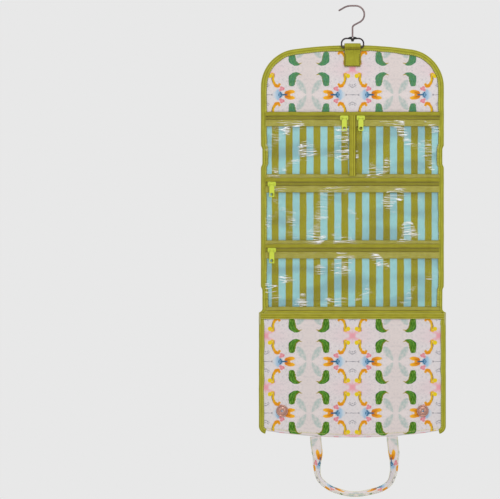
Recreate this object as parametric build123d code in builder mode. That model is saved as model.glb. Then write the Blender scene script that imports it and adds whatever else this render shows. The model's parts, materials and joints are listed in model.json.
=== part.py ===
from build123d import *
from math import cos, radians, sin, tan
import os

# Hanging toiletry bag, hung open from its swivel hook.
#
# A long three-part wallet of printed canvas. The upper part and the back part carry three rows of zipped clear
# pockets, the front cover hangs below them, and two soft spines let the three parts fold into a small tote with
# two handles. Millimetres, +Z up, the open side facing -Y. The origin is the point under the hook's crown that
# rests on the rail.

os.makedirs("parts", exist_ok=True)

# ---------------------------------------------------------------- driving dimensions
STRIP_WIDTH = 275.0  # upper part, spines and back part, over their bindings
COVER_LAP = 6.0  # the front cover is this much wider than the strip
TOP_EDGE_DROP = 57.3  # from the rail down to the middle of the top edge
UPPER_HEIGHT = 153.8  # top edge to the first fold line
TOP_SPINE = 27.0  # width of the soft spine that becomes the top of the closed bag
BACK_HEIGHT = 184.7
COVER_RISE = 4.5  # the closed cover stands this far above the top fold
FOLD_GAP = 0.5  # between the panels on the two sides of a fold line

ARCH_RADIUS = 625.0  # top edge
SHOULDER_RADIUS = 57.0  # corners of the top edge
COVER_ARCH_RADIUS = 845.0  # free edge of the cover
COVER_CORNER_RADIUS = 12.0

LINING = 0.6  # layer thicknesses, front to back
CORE = 1.2
SHELL = 0.9
LINING_FRONT = 4.2  # y of the lining's front face; the ring hangs in the plane y = 0
BINDING = 9.0  # width of a binding's lip
BINDING_WALL = 1.0
EDGE_CLEARANCE = 0.3  # between a binding and what is sewn beside it
CORE_INSET = 6.0

ROW_TOP_DROP = 101.9  # top edge to the first pocket row
FOOT_CLEARANCE = 0.8  # from the last pocket to the base fold
BAND = 4.0  # green band above each zip
LOWER_TAPE = 9.1
SEAM_TAPE = 6.0  # tape that closes the bottom of a pocket
DIVIDER = 10.5
VINYL = 0.4

TAPE = 0.5
COIL = 1.8  # thickness of the two rows of coil
COIL_WIDTH = 1.8
SLIT = 0.8  # between the two rows, where the slider's neck runs
ZIP_STAND_OFF = 2.4  # from the lining to the mid-plane of the tapes

SLIDER_LENGTH = 12.3
SLIDER_RIM = 0.6
SLIDER_PLATE = 0.8
SLIDER_PLAY = 0.2
NECK = 0.45
PULL_LENGTH = 19.5
PULL_WIDTH = 7.5
PULL_THICKNESS = 1.2
PULL_HOLE_RADIUS = 2.5
PULL_PIN_RADIUS = 0.7
KNUCKLE_WALL = 0.82
KNUCKLE_WIDTH = 5.0
EAR = 1.0
EAR_REACH = 1.3
RUNNING_CLEARANCE = 0.08

WIRE_RADIUS = 1.3  # hook
BOW_RADIUS = 13.0
BOW_OFFSET = 4.7  # bow centre, to the right of the shank
CROWN_FLAT = 6.7
ARM_RADIUS = 22.0
ARM_TURN = 30.0
ARM_LENGTH = 8.0
SHANK_RISE = 28.0  # angle of the diagonal between shank and bow
SHANK_BEND = 5.0

RING_WIRE_RADIUS = 1.2
RING_HALF_WIDTH = 16.5  # to the wire's centre line
RING_HEIGHT = 13.3
RING_BAR_BELOW_EDGE = 3.7
RING_SHOULDER = 7.5
RING_CORNER = 3.4
BOSS_WALL = 1.7
BOSS_HEIGHT = 3.0
HEAD_HEIGHT = 3.0
CONE_LENGTH = 5.0  # the wire swells into the boss

WEBBING_WIDTH = 25.6
WEBBING = 1.2
TAIL_LENGTH = 26.5  # sewn to the lining below the top binding

SNAP_RADIUS = 9.0
SNAP_X = 105.5
SNAP_FROM_EDGE = 40.2  # from the cover's free edge
SNAP_CLEARANCE = 0.4  # face to face when closed
SOCKET_THICKNESS = 2.6
SOCKET_BORE_RADIUS = 3.6
SOCKET_BORE_DEPTH = 2.4
STUD_DISC = 1.2
STUD_RADIUS = 3.2
STUD_HEIGHT = 2.0
WASHER_RADIUS = 7.0

SLIP_PANEL = 0.6
SLIP_GAP = 0.3
SLIP_BINDING_HEIGHT = 10.0

STRAP_WIDTH = 17.4
STRAP = 2.6
STRAP_X = 58.0
BEND_RADIUS = 45.0
HANDLE_DROP = 88.0

PLATE_WIDTH = 37.0
PLATE_HEIGHT = 10.5
PLATE = 0.8
PLATE_FROM_EDGE = 33.0

# ---------------------------------------------------------------- sizes and places worked out from them
CORE_FRONT = LINING_FRONT + LINING
SHELL_FRONT = CORE_FRONT + CORE
SHELL_BACK = SHELL_FRONT + SHELL
FOLD_Y = LINING_FRONT - BINDING_WALL - 0.2  # the panels fold about a line just in front of their bindings
SLIP_BACK = LINING_FRONT - SLIP_GAP
SLIP_FRONT = SLIP_BACK - SLIP_PANEL
COVER_LIP_FRONT = SLIP_FRONT - BINDING_WALL

# closed, the cover lies over the back of the upper part, with the snaps' two halves between them
COVER_WIDTH = STRIP_WIDTH + COVER_LAP
COVER_HEIGHT = BACK_HEIGHT + COVER_RISE
BASE_SPINE = TOP_SPINE + SHELL_BACK + STUD_DISC + SNAP_CLEARANCE + SOCKET_THICKNESS - SLIP_FRONT
SNAP_REACH = COVER_HEIGHT - SNAP_FROM_EDGE

TOP_Z = -TOP_EDGE_DROP
FOLD_1 = TOP_Z - UPPER_HEIGHT  # upper part to top spine
FOLD_2 = FOLD_1 - TOP_SPINE  # top spine to back part
FOLD_3 = FOLD_2 - BACK_HEIGHT  # back part to base spine
FOLD_4 = FOLD_3 - BASE_SPINE  # base spine to front cover
COVER_END = FOLD_4 - COVER_HEIGHT

RING_BAR_DROP = TOP_EDGE_DROP + RING_BAR_BELOW_EDGE
RING_TOP_DROP = RING_BAR_DROP - RING_HEIGHT
BORE_RADIUS = WIRE_RADIUS + RUNNING_CLEARANCE
BOSS_RADIUS = BORE_RADIUS + BOSS_WALL

SLIDER_HEIGHT = SLIT + 2 * COIL_WIDTH + 4 * SLIDER_RIM
CHAIN_GAP = SLIDER_HEIGHT + 2 * EDGE_CLEARANCE  # height left for the slider between band and window
KNUCKLE_RADIUS = PULL_PIN_RADIUS + RUNNING_CLEARANCE + KNUCKLE_WALL
ZIP_Y = LINING_FRONT - ZIP_STAND_OFF
VINYL_BACK = ZIP_Y - TAPE / 2
VINYL_FRONT = VINYL_BACK - VINYL
BAND_FRONT = VINYL_BACK - 0.8
HALF_INSIDE = STRIP_WIDTH / 2 - BINDING - EDGE_CLEARANCE  # half the width between the side bindings
ROW_PITCH = (TOP_Z - ROW_TOP_DROP - FOLD_4 - FOOT_CLEARANCE) / 3
ROW_TOPS = [TOP_Z - ROW_TOP_DROP - row * ROW_PITCH for row in range(3)]
ROWS_END = ROW_TOPS[0] - 3 * ROW_PITCH

# the snaps meet face to face when the bag is closed, which sets how far a stud is above the first fold
STUD_Z = FOLD_1 + BACK_HEIGHT - SNAP_REACH
SOCKET_Z = FOLD_4 - SNAP_REACH

ZIP_DROP = BAND + CHAIN_GAP / 2  # row top to the zip's mid-line


def front_plane(y):
    """An upright plane at y that looks to the front: sketch x is X and sketch y is Z."""
    return Plane(origin=(0, y, 0), x_dir=(1, 0, 0), z_dir=(0, -1, 0))


def finish(part, name):
    """Labels a finished piece and writes it."""
    part.label = name
    export_step(part, f"parts/{name}.step")


def slab(x0, x1, y0, y1, z0, z1, mode=Mode.ADD):
    """A straight slab between two corners, in the part that is being built."""
    with Locations(((x0 + x1) / 2, (y0 + y1) / 2, (z0 + z1) / 2)):
        Box(abs(x1 - x0), abs(y1 - y0), abs(z1 - z0), mode=mode)


# ---------------------------------------------------------------- outlines
def upper_outline(inset):
    """The upper part's outline, taken in by inset at its top and sides and straight along fold 1."""
    low = FOLD_1 + FOLD_GAP / 2
    high = TOP_Z - inset
    with BuildSketch() as outline:
        with Locations((0, (low + high) / 2)):
            Rectangle(STRIP_WIDTH - 2 * inset, high - low)
        with Locations((0, TOP_Z - ARCH_RADIUS)):
            Circle(ARCH_RADIUS - inset, mode=Mode.INTERSECT)
        fillet(outline.vertices().group_by(Axis.Y)[-1], SHOULDER_RADIUS - inset)
    return outline.sketch


def cover_outline(inset):
    """The front cover's outline, taken in by inset at its sides and free edge and straight along fold 4."""
    high = FOLD_4 - FOLD_GAP / 2
    low = COVER_END + inset
    with BuildSketch() as outline:
        with Locations((0, (low + high) / 2)):
            Rectangle(COVER_WIDTH - 2 * inset, high - low)
        with Locations((0, COVER_END + COVER_ARCH_RADIUS)):
            Circle(COVER_ARCH_RADIUS - inset, mode=Mode.INTERSECT)
        fillet(outline.vertices().group_by(Axis.Y)[0], COVER_CORNER_RADIUS - inset)
    return outline.sketch


UPPER_EDGE = upper_outline(0)
UPPER_PANEL = upper_outline(BINDING_WALL)
UPPER_CORE = upper_outline(CORE_INSET)
UPPER_INSIDE = upper_outline(BINDING)
COVER_EDGE = cover_outline(0)
COVER_PANEL = cover_outline(BINDING_WALL)
COVER_CORE = cover_outline(CORE_INSET)


def sheet(outline, front, back):
    """A flat layer of an outline, from y = front to y = back."""
    with BuildPart() as layer:
        with BuildSketch(front_plane(back)):
            add(outline)
        extrude(amount=back - front)
    return layer.part


def strip_layer(half_width, front, back, top, bottom):
    """A flat layer between two fold lines."""
    with BuildPart() as layer:
        slab(-half_width, half_width, front, back, bottom + FOLD_GAP / 2, top - FOLD_GAP / 2)
    return layer.part


def side_bindings(top, bottom):
    """The pair of folded bindings over the side edges between two fold lines."""
    half = STRIP_WIDTH / 2
    z0, z1 = bottom + FOLD_GAP / 2, top - FOLD_GAP / 2
    with BuildPart() as bindings:
        for side in (-1, 1):
            slab(side * (half - BINDING), side * half, LINING_FRONT - BINDING_WALL, SHELL_BACK + BINDING_WALL,
                 z0, z1)
            slab(side * (half - BINDING - 1), side * (half - BINDING_WALL), LINING_FRONT, SHELL_BACK, z0, z1,
                 mode=Mode.SUBTRACT)
    return bindings.part


# ---------------------------------------------------------------- hook, ring and loop
def hanger_hook():
    """Bent wire: a shank that turns in the ring's boss, a diagonal, a bow, a flat crown and an open arm."""
    crown_z = WIRE_RADIUS
    rise = radians(SHANK_RISE)
    bow_x, bow_z = BOW_OFFSET, crown_z - BOW_RADIUS
    bow_start = (bow_x + BOW_RADIUS * sin(rise), bow_z - BOW_RADIUS * cos(rise))
    corner_z = bow_start[1] - bow_start[0] * tan(rise)
    head_top = -RING_TOP_DROP - BOSS_HEIGHT / 2 - 0.15
    with BuildPart() as hook:
        with BuildLine(front_plane(0)) as wire:
            shank = FilletPolyline((0, head_top - HEAD_HEIGHT + 1), (0, corner_z), bow_start, radius=SHANK_BEND)
            bow = JernArc(start=shank @ 1, tangent=shank % 1, radius=BOW_RADIUS, arc_size=180 - SHANK_RISE)
            crown = Line(bow @ 1, (bow_x - CROWN_FLAT, crown_z))
            arm = JernArc(start=crown @ 1, tangent=crown % 1, radius=ARM_RADIUS, arc_size=ARM_TURN)
            Line(arm @ 1, arm @ 1 + (arm % 1) * ARM_LENGTH)
        with BuildSketch(Plane(origin=wire.line @ 0, z_dir=wire.line % 0)):
            Circle(WIRE_RADIUS)
        sweep(path=wire.line)
        with Locations(wire.line @ 1):
            Sphere(WIRE_RADIUS)
        with Locations((0, 0, head_top - HEAD_HEIGHT / 2)):
            Cylinder(WIRE_RADIUS + 0.8, HEAD_HEIGHT)
        fillet(hook.edges().filter_by(GeomType.CIRCLE).group_by(Axis.Z)[0], 1.0)
    return hook.part


def swivel_ring():
    """Wire ring with a flat lower bar for the webbing and a bored boss for the shank."""
    half, top, bar = RING_HALF_WIDTH, -RING_TOP_DROP, -RING_BAR_DROP
    with BuildPart() as ring:
        with BuildLine(front_plane(0)) as wire:
            FilletPolyline((0, top), (half, top), (half, bar), (0, bar), radius=[RING_SHOULDER, RING_CORNER])
        with BuildSketch(Plane(origin=wire.line @ 0, z_dir=wire.line % 0)):
            Circle(RING_WIRE_RADIUS)
        sweep(path=wire.line)
        with Locations(Location((BOSS_RADIUS + CONE_LENGTH / 2 - 1, 0, top), (0, 90, 0))):
            Cone(bottom_radius=BOSS_HEIGHT / 2, top_radius=RING_WIRE_RADIUS, height=CONE_LENGTH)
        mirror(about=Plane.YZ)
        with Locations((0, 0, top)):
            Cylinder(BOSS_RADIUS, BOSS_HEIGHT)
            Cylinder(BORE_RADIUS, BOSS_HEIGHT * 2, mode=Mode.SUBTRACT)
    return ring.part


def hook_loop():
    """Webbing folded round the ring's bar; both ends lie one on the other, sewn to the front of the upper part."""
    eye = RING_WIRE_RADIUS + RUNNING_CLEARANCE
    lip_front = LINING_FRONT - BINDING_WALL
    tail_top = TOP_Z - BINDING - EDGE_CLEARANCE
    with BuildPart() as loop:
        with BuildSketch(Plane(origin=(-WEBBING_WIDTH / 2, 0, 0), x_dir=(0, 1, 0), z_dir=(1, 0, 0))):
            with Locations((0, -RING_BAR_DROP)):
                Circle(eye + WEBBING)
            with Locations((lip_front - WEBBING - 0.1, tail_top)):
                Rectangle(2 * WEBBING, 0.6)
            make_hull()
            with Locations((0, -RING_BAR_DROP)):
                Circle(eye, mode=Mode.SUBTRACT)
            with Locations((LINING_FRONT - WEBBING, tail_top - TAIL_LENGTH / 2)):
                Rectangle(2 * WEBBING, TAIL_LENGTH)
        extrude(amount=WEBBING_WIDTH)
    return loop.part


# ---------------------------------------------------------------- upper part
def with_snap_holes(core, z):
    """A stiffener with a hole round each snap's washer."""
    with BuildPart() as holed:
        add(core)
        with Locations(*[front_plane(CORE_FRONT) * Location((side * SNAP_X, z)) for side in (-1, 1)]):
            Cylinder(WASHER_RADIUS + 1, 6 * CORE, mode=Mode.SUBTRACT)
    return holed.part


def snap_washers(z):
    """The washers that the snaps' prongs are bent over, inside the panel."""
    with BuildPart() as washers:
        for side in (-1, 1):
            with BuildSketch(front_plane(SHELL_FRONT - 0.1)):
                with Locations((side * SNAP_X, z)):
                    Circle(WASHER_RADIUS)
                    Circle(2.0, mode=Mode.SUBTRACT)
            extrude(amount=CORE - 0.2)
    return washers.part


def upper_binding():
    """One folded binding round the upper part's top and sides."""
    with BuildPart() as binding:
        with BuildSketch(front_plane(SHELL_BACK + BINDING_WALL)):
            add(UPPER_EDGE)
            add(UPPER_INSIDE, mode=Mode.SUBTRACT)
        extrude(amount=SHELL_BACK - LINING_FRONT + 2 * BINDING_WALL)
        with BuildSketch(front_plane(SHELL_BACK)):
            add(UPPER_PANEL)
        extrude(amount=SHELL_BACK - LINING_FRONT, mode=Mode.SUBTRACT)
    return binding.part


def snap_studs():
    """The two snap halves that stand out of the back of the upper part."""
    with BuildPart() as studs:
        for side in (-1, 1):
            with BuildSketch(front_plane(SHELL_BACK + STUD_DISC)):
                with Locations((side * SNAP_X, STUD_Z)):
                    Circle(SNAP_RADIUS)
            extrude(amount=STUD_DISC)
            with BuildSketch(front_plane(SHELL_BACK + STUD_DISC + STUD_HEIGHT)):
                with Locations((side * SNAP_X, STUD_Z)):
                    Circle(STUD_RADIUS)
            extrude(amount=STUD_HEIGHT)
    return studs.part


# ---------------------------------------------------------------- pocket rows
def seam_band(row_top, seam_above, half_width=HALF_INSIDE, has_zip=True):
    """The green band across the bag at a row's top: it closes the pocket above and holds the zip's upper tape."""
    with BuildPart() as band:
        if seam_above:
            slab(-half_width, half_width, VINYL_BACK, LINING_FRONT, row_top, row_top + SEAM_TAPE)
        if has_zip:
            slab(-half_width, half_width, BAND_FRONT, LINING_FRONT, row_top - BAND, row_top)
            slab(-half_width, half_width, ZIP_Y - TAPE / 2, ZIP_Y + TAPE / 2, row_top - BAND, row_top - 1,
                 mode=Mode.SUBTRACT)
    return band.part


def zip_tapes(row_top, x0, x1):
    """Upper tape, held in the band, and lower tape, sewn to the window."""
    middle = row_top - ZIP_DROP
    coil_edge = SLIT / 2 + COIL_WIDTH
    front, back = ZIP_Y - TAPE / 2, ZIP_Y + TAPE / 2
    with BuildPart() as tapes:
        slab(x0, x1, front, back, middle + coil_edge, row_top - 1)
        slab(x0, x1, front, back, middle - CHAIN_GAP / 2 - LOWER_TAPE, middle - coil_edge)
    return tapes.part


def zip_coils(row_top, x0, x1):
    """The two rows of coil, with the slit that the slider's neck runs in."""
    middle = row_top - ZIP_DROP
    with BuildPart() as coils:
        for side in (-1, 1):
            edge = middle + side * SLIT / 2
            slab(x0, x1, ZIP_Y - COIL / 2, ZIP_Y + COIL / 2, edge, edge + side * COIL_WIDTH)
        fillet(coils.edges().filter_by(Axis.X), 0.5)
    return coils.part


def window(row_top, x0, x1):
    """A clear vinyl sheet over the pocket, with its side edges turned back to the lining."""
    top = row_top - ZIP_DROP - CHAIN_GAP / 2 - 1.5
    bottom = row_top - ROW_PITCH
    seam = bottom + SEAM_TAPE
    tape_end = row_top - ZIP_DROP - CHAIN_GAP / 2 - LOWER_TAPE
    with BuildPart() as pane:
        slab(x0, x1, VINYL_FRONT, VINYL_BACK, bottom, top)
        for edge, way in ((x0, 1), (x1, -1)):
            slab(edge, edge + way * VINYL, VINYL_BACK, LINING_FRONT, seam, tape_end)
    return pane.part


def centre_divider():
    """The strip that parts the first row's two pockets and covers the ends of their zips."""
    with BuildPart() as divider:
        slab(-DIVIDER / 2, DIVIDER / 2, BAND_FRONT - 0.6, LINING_FRONT, ROW_TOPS[0] - ROW_PITCH + SEAM_TAPE,
             ROW_TOPS[0] - BAND)
    return divider.part


def pull_axis_y():
    """The y of a pull's pin, in front of the slider's front plate."""
    return ZIP_Y - COIL / 2 - SLIDER_PLAY - SLIDER_PLATE - KNUCKLE_RADIUS - 0.2


def slider(row_top, x):
    """Two plates with turned-in rims round the coil, a neck in the slit, and two ears with a pin for the pull."""
    middle = row_top - ZIP_DROP
    half = SLIDER_HEIGHT / 2
    inner = COIL / 2 + SLIDER_PLAY
    outer = inner + SLIDER_PLATE
    pin_y = pull_axis_y()
    ear_in = KNUCKLE_WIDTH / 2 + EDGE_CLEARANCE
    with BuildPart() as body:
        for way in (-1, 1):
            with BuildSketch(front_plane(ZIP_Y + max(way * inner, way * outer))):
                with Locations((x, middle)):
                    RectangleRounded(SLIDER_LENGTH, SLIDER_HEIGHT, 1.6)
            extrude(amount=SLIDER_PLATE)
            for side in (-1, 1):
                slab(x - SLIDER_LENGTH / 2 + 1.6, x + SLIDER_LENGTH / 2 - 1.6,
                     ZIP_Y + way * (TAPE / 2 + SLIDER_PLAY), ZIP_Y + way * inner,
                     middle + side * (half - SLIDER_RIM), middle + side * half)
        slab(x - 2, x + 2, ZIP_Y - inner, ZIP_Y + inner, middle - NECK / 2, middle + NECK / 2)
        for side in (-1, 1):
            slab(x + side * ear_in, x + side * (ear_in + EAR), pin_y - 1.1, ZIP_Y - outer,
                 middle - EAR_REACH, middle + EAR_REACH)
        with Locations(Location((x, pin_y, middle), (0, 90, 0))):
            Cylinder(PULL_PIN_RADIUS, 2 * ear_in)
    return body.part


def pull(row_top, x):
    """The pull: a knuckle round the slider's pin and a flat tab with a round hole."""
    middle = row_top - ZIP_DROP
    y = pull_axis_y()
    end = middle - PULL_LENGTH
    with BuildPart() as tab:
        with BuildSketch(front_plane(y + PULL_THICKNESS / 2)):
            with Locations((x, (middle + end) / 2 - 1.5)):
                RectangleRounded(PULL_WIDTH, PULL_LENGTH - 3.0, 1.2)
            with Locations((x, middle - 2)):
                Rectangle(KNUCKLE_WIDTH, 4)
            with Locations((x, end + PULL_WIDTH / 2)):
                Circle(PULL_HOLE_RADIUS, mode=Mode.SUBTRACT)
        extrude(amount=PULL_THICKNESS)
        with Locations(Location((x, y, middle), (0, 90, 0))):
            Cylinder(KNUCKLE_RADIUS, KNUCKLE_WIDTH)
            Cylinder(PULL_PIN_RADIUS + RUNNING_CLEARANCE, KNUCKLE_WIDTH + 1, mode=Mode.SUBTRACT)
    return tab.part


# ---------------------------------------------------------------- front cover
def cover_bindings():
    """The cover's two side bindings, turned in at the bottom corners."""
    half = COVER_WIDTH / 2
    turn_in, tab = 16.0, 6.0
    with BuildPart() as bindings:
        with BuildSketch(front_plane(SHELL_BACK + BINDING_WALL)):
            add(COVER_EDGE)
            with Locations((0, FOLD_4)):
                Rectangle(2 * (half - turn_in), 4 * COVER_HEIGHT, mode=Mode.SUBTRACT)
            with Locations((0, COVER_END + COVER_HEIGHT / 2 + 2 * tab)):
                Rectangle(2 * (half - BINDING), COVER_HEIGHT, mode=Mode.SUBTRACT)
        extrude(amount=SHELL_BACK + BINDING_WALL - COVER_LIP_FRONT)
        with BuildSketch(front_plane(SHELL_BACK)):
            add(COVER_PANEL)
        extrude(amount=SHELL_BACK - SLIP_FRONT, mode=Mode.SUBTRACT)
    return bindings.part


def slip_pocket_binding():
    """The folded binding over the slip pocket's top edge."""
    half = COVER_WIDTH / 2 - BINDING
    high = FOLD_4 - FOLD_GAP / 2
    with BuildPart() as binding:
        slab(-half, half, COVER_LIP_FRONT, LINING_FRONT, high - SLIP_BINDING_HEIGHT, high)
        slab(-half, half, SLIP_FRONT, LINING_FRONT, high - SLIP_BINDING_HEIGHT, high - BINDING_WALL,
             mode=Mode.SUBTRACT)
    return binding.part


def slip_pocket():
    """The flat printed pocket over the inside of the cover, sewn along its sides and foot."""
    high = FOLD_4 - FOLD_GAP / 2 - BINDING_WALL
    with BuildPart() as panel:
        with BuildSketch(front_plane(SLIP_BACK)):
            add(COVER_PANEL)
            with Locations((0, high + 5)):
                Rectangle(2 * COVER_WIDTH, 10, mode=Mode.SUBTRACT)
        extrude(amount=SLIP_PANEL)
    return panel.part


def snap_sockets():
    """The two snap halves on the slip pocket, bored for the studs."""
    with BuildPart() as sockets:
        for side in (-1, 1):
            with BuildSketch(front_plane(SLIP_FRONT)):
                with Locations((side * SNAP_X, SOCKET_Z)):
                    Circle(SNAP_RADIUS)
            extrude(amount=SOCKET_THICKNESS)
            with BuildSketch(front_plane(SLIP_FRONT - SOCKET_THICKNESS + SOCKET_BORE_DEPTH)):
                with Locations((side * SNAP_X, SOCKET_Z)):
                    Circle(SOCKET_BORE_RADIUS)
            extrude(amount=SOCKET_BORE_DEPTH, mode=Mode.SUBTRACT)
    return sockets.part


def nameplate():
    """A blank metal plate with two rivet heads on the outside of the cover."""
    z = COVER_END + PLATE_FROM_EDGE
    with BuildPart() as plate:
        with BuildSketch(front_plane(SHELL_BACK + PLATE)):
            with Locations((0, z)):
                RectangleRounded(PLATE_WIDTH, PLATE_HEIGHT, 1.5)
        extrude(amount=PLATE)
        for side in (-1, 1):
            with Locations(Location((side * (PLATE_WIDTH / 2 - 3), SHELL_BACK + PLATE + 0.2, z), (90, 0, 0))):
                Cylinder(0.9, 0.4)
    return plate.part


# ---------------------------------------------------------------- handles
def strap_outline(top, way):
    """A strap loop's outer (way = 1) or inner (way = -1) outline, filled, hanging from top."""
    half = way * STRAP_WIDTH / 2
    height = HANDLE_DROP - STRAP_WIDTH / 2 + half
    with BuildSketch() as outline:
        with Locations((0, top - height / 2)):
            Rectangle(2 * (STRAP_X + half), height)
        fillet(outline.vertices().group_by(Axis.Y)[0], BEND_RADIUS + half)
    return outline.sketch


def handle(root_z, y):
    """A flat strap sewn at both ends, hanging in a loop below its root: two legs and a round bend."""
    top = root_z - 0.2
    with BuildPart() as strap:
        with BuildSketch(front_plane(y + STRAP / 2)):
            add(strap_outline(top, 1))
            add(strap_outline(top, -1), mode=Mode.SUBTRACT)
        extrude(amount=STRAP)
    return strap.part


# ---------------------------------------------------------------- the bag
finish(hanger_hook(), "hanger_hook")
finish(swivel_ring(), "swivel_ring")
finish(hook_loop(), "hook_loop")

finish(sheet(UPPER_PANEL, SHELL_FRONT, SHELL_BACK), "upper_shell")
finish(with_snap_holes(sheet(UPPER_CORE, CORE_FRONT, SHELL_FRONT), STUD_Z), "upper_stiffener")
finish(snap_washers(STUD_Z), "upper_snap_washers")
finish(upper_binding(), "upper_binding")
finish(snap_studs(), "snap_studs")
for name, low, high in (("upper_print_lining", ROW_TOPS[0], 0), ("upper_stripe_lining", FOLD_1, ROW_TOPS[0])):
    with BuildPart() as lining:
        add(sheet(UPPER_PANEL, LINING_FRONT, CORE_FRONT))
        slab(-STRIP_WIDTH, STRIP_WIDTH, 0, 2 * CORE_FRONT, low, high, mode=Mode.INTERSECT)
    finish(lining.part, name)

half_panel = STRIP_WIDTH / 2 - BINDING_WALL
half_core = STRIP_WIDTH / 2 - CORE_INSET
for name, core_name, top, bottom in (
    ("top_spine", "padding", FOLD_1, FOLD_2),
    ("back", "stiffener", FOLD_2, FOLD_3),
    ("base", "stiffener", FOLD_3, FOLD_4),
):
    finish(strip_layer(half_panel, SHELL_FRONT, SHELL_BACK, top, bottom), f"{name}_shell")
    finish(strip_layer(half_core, CORE_FRONT, SHELL_FRONT, top, bottom), f"{name}_{core_name}")
    finish(strip_layer(half_panel, LINING_FRONT, CORE_FRONT, top, bottom), f"{name}_lining")
    finish(side_bindings(top, bottom), f"{name}_bindings")

finish(seam_band(ROW_TOPS[0], seam_above=False), "row_1_band")
finish(seam_band(ROW_TOPS[1], seam_above=True), "row_2_band")
finish(seam_band(ROW_TOPS[2], seam_above=True), "row_3_band")
finish(seam_band(ROWS_END, seam_above=True, has_zip=False), "row_3_foot_band")
finish(centre_divider(), "centre_divider")

slider_room = SLIDER_LENGTH / 2 + 1.0
for name, row, x0, x1, slider_x in (
    ("1_left", 0, -HALF_INSIDE, -DIVIDER / 2, -DIVIDER / 2 - slider_room),
    ("1_right", 0, DIVIDER / 2, HALF_INSIDE, DIVIDER / 2 + slider_room),
    ("2", 1, -HALF_INSIDE, HALF_INSIDE, -HALF_INSIDE + slider_room),
    ("3", 2, -HALF_INSIDE, HALF_INSIDE, -HALF_INSIDE + slider_room),
):
    finish(zip_tapes(ROW_TOPS[row], x0, x1), f"zip_{name}_tapes")
    finish(zip_coils(ROW_TOPS[row], x0, x1), f"zip_{name}_coils")
    finish(window(ROW_TOPS[row], x0, x1), f"window_{name}")
    finish(slider(ROW_TOPS[row], slider_x), f"slider_{name}")
    finish(pull(ROW_TOPS[row], slider_x), f"pull_{name}")

finish(sheet(COVER_PANEL, SHELL_FRONT, SHELL_BACK), "cover_shell")
finish(with_snap_holes(sheet(COVER_CORE, CORE_FRONT, SHELL_FRONT), SOCKET_Z), "cover_stiffener")
finish(sheet(COVER_PANEL, LINING_FRONT, CORE_FRONT), "cover_lining")
finish(snap_washers(SOCKET_Z), "cover_snap_washers")
finish(cover_bindings(), "cover_bindings")
finish(slip_pocket_binding(), "slip_pocket_binding")
finish(slip_pocket(), "slip_pocket")
finish(snap_sockets(), "snap_sockets")
finish(nameplate(), "nameplate")

finish(handle(COVER_END, (SLIP_FRONT + SHELL_BACK) / 2), "front_handle")
finish(handle(FOLD_2 - 4.0, SHELL_BACK + STRAP / 2 + EDGE_CLEARANCE), "rear_handle")
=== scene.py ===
# %% [markdown]
# # A hanging toiletry bag
# The bag hangs open from its swivel hook: a long strip of printed canvas bound in green ribbon, with three
# rows of zipped clear pockets, and a front cover with a handle below. The CAD frame gives every place and
# size, so this script only makes what the frame can't: cloth, ribbon, film, thread and finishes. It works
# in metres.

import json

import bpy
import numpy as np
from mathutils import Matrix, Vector


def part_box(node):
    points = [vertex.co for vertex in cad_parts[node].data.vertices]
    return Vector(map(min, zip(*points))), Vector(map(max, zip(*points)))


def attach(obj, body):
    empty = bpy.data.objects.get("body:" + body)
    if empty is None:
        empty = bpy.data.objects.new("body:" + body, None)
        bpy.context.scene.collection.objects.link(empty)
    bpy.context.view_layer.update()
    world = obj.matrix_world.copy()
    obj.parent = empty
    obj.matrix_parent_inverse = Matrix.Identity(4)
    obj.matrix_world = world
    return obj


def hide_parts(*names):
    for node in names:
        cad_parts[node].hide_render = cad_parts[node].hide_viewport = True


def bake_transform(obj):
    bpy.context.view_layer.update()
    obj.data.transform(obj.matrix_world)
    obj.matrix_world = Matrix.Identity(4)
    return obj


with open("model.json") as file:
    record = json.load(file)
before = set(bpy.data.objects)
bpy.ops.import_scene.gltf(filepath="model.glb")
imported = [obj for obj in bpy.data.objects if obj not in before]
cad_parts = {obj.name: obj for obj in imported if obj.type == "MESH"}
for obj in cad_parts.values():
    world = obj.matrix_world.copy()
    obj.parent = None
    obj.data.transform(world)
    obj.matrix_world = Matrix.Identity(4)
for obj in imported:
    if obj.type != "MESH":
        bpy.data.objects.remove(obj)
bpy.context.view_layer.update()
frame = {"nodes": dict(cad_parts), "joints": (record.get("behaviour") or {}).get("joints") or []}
MM = 0.001
TAU = 2 * np.pi
joints = {joint["name"]: joint for joint in frame["joints"]}
BEND = 0.008  # a distance above and below a fold line; put() adds it to the line but doesn't use the result
FOLDS = [joints[name]["pos_m"][2] for name in
         ("fold_top_upper", "fold_top_lower", "fold_base_upper", "fold_base_lower")]
print("fold lines at", [round(z, 4) for z in FOLDS])


def corner(node, high=False):
    """A CAD node's lowest or highest corner, as an array."""
    return np.array(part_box(node)[1 if high else 0])


# %% [markdown]
# ## Camera, light and floor
# A catalogue picture is taken square on and from far away, so a long lens stands at the height of the
# middle of the frame. A pale world gives the flat, shadowless studio ground. One large soft lamp above and
# in front gives the cloth its direction, and two narrow lamps exist for the clear film alone: a thin strip
# of light is what draws crisp white lines on wrinkled vinyl.

# %% Camera
scene = bpy.context.scene
scene.view_settings.view_transform = "Standard"
FRAME_WIDTH = 0.75
CAMERA_DISTANCE = 3.2
camera_data = bpy.data.cameras.new("camera")
camera_data.sensor_width = 36
camera_data.lens = 36 * CAMERA_DISTANCE / FRAME_WIDTH
camera = bpy.data.objects.new("camera", camera_data)
camera.location = (-0.1538, -CAMERA_DISTANCE, -0.3643)
camera.rotation_euler = (np.pi / 2, 0, 0)
scene.collection.objects.link(camera)
scene.camera = camera
print("lens", round(camera_data.lens), "mm at", CAMERA_DISTANCE, "m")

# %% World, lamps and floor
world = bpy.data.worlds.new("studio")
world.use_nodes = True
world.node_tree.nodes["Background"].inputs["Color"].default_value = (0.807, 0.807, 0.807, 1)
scene.world = world


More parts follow.
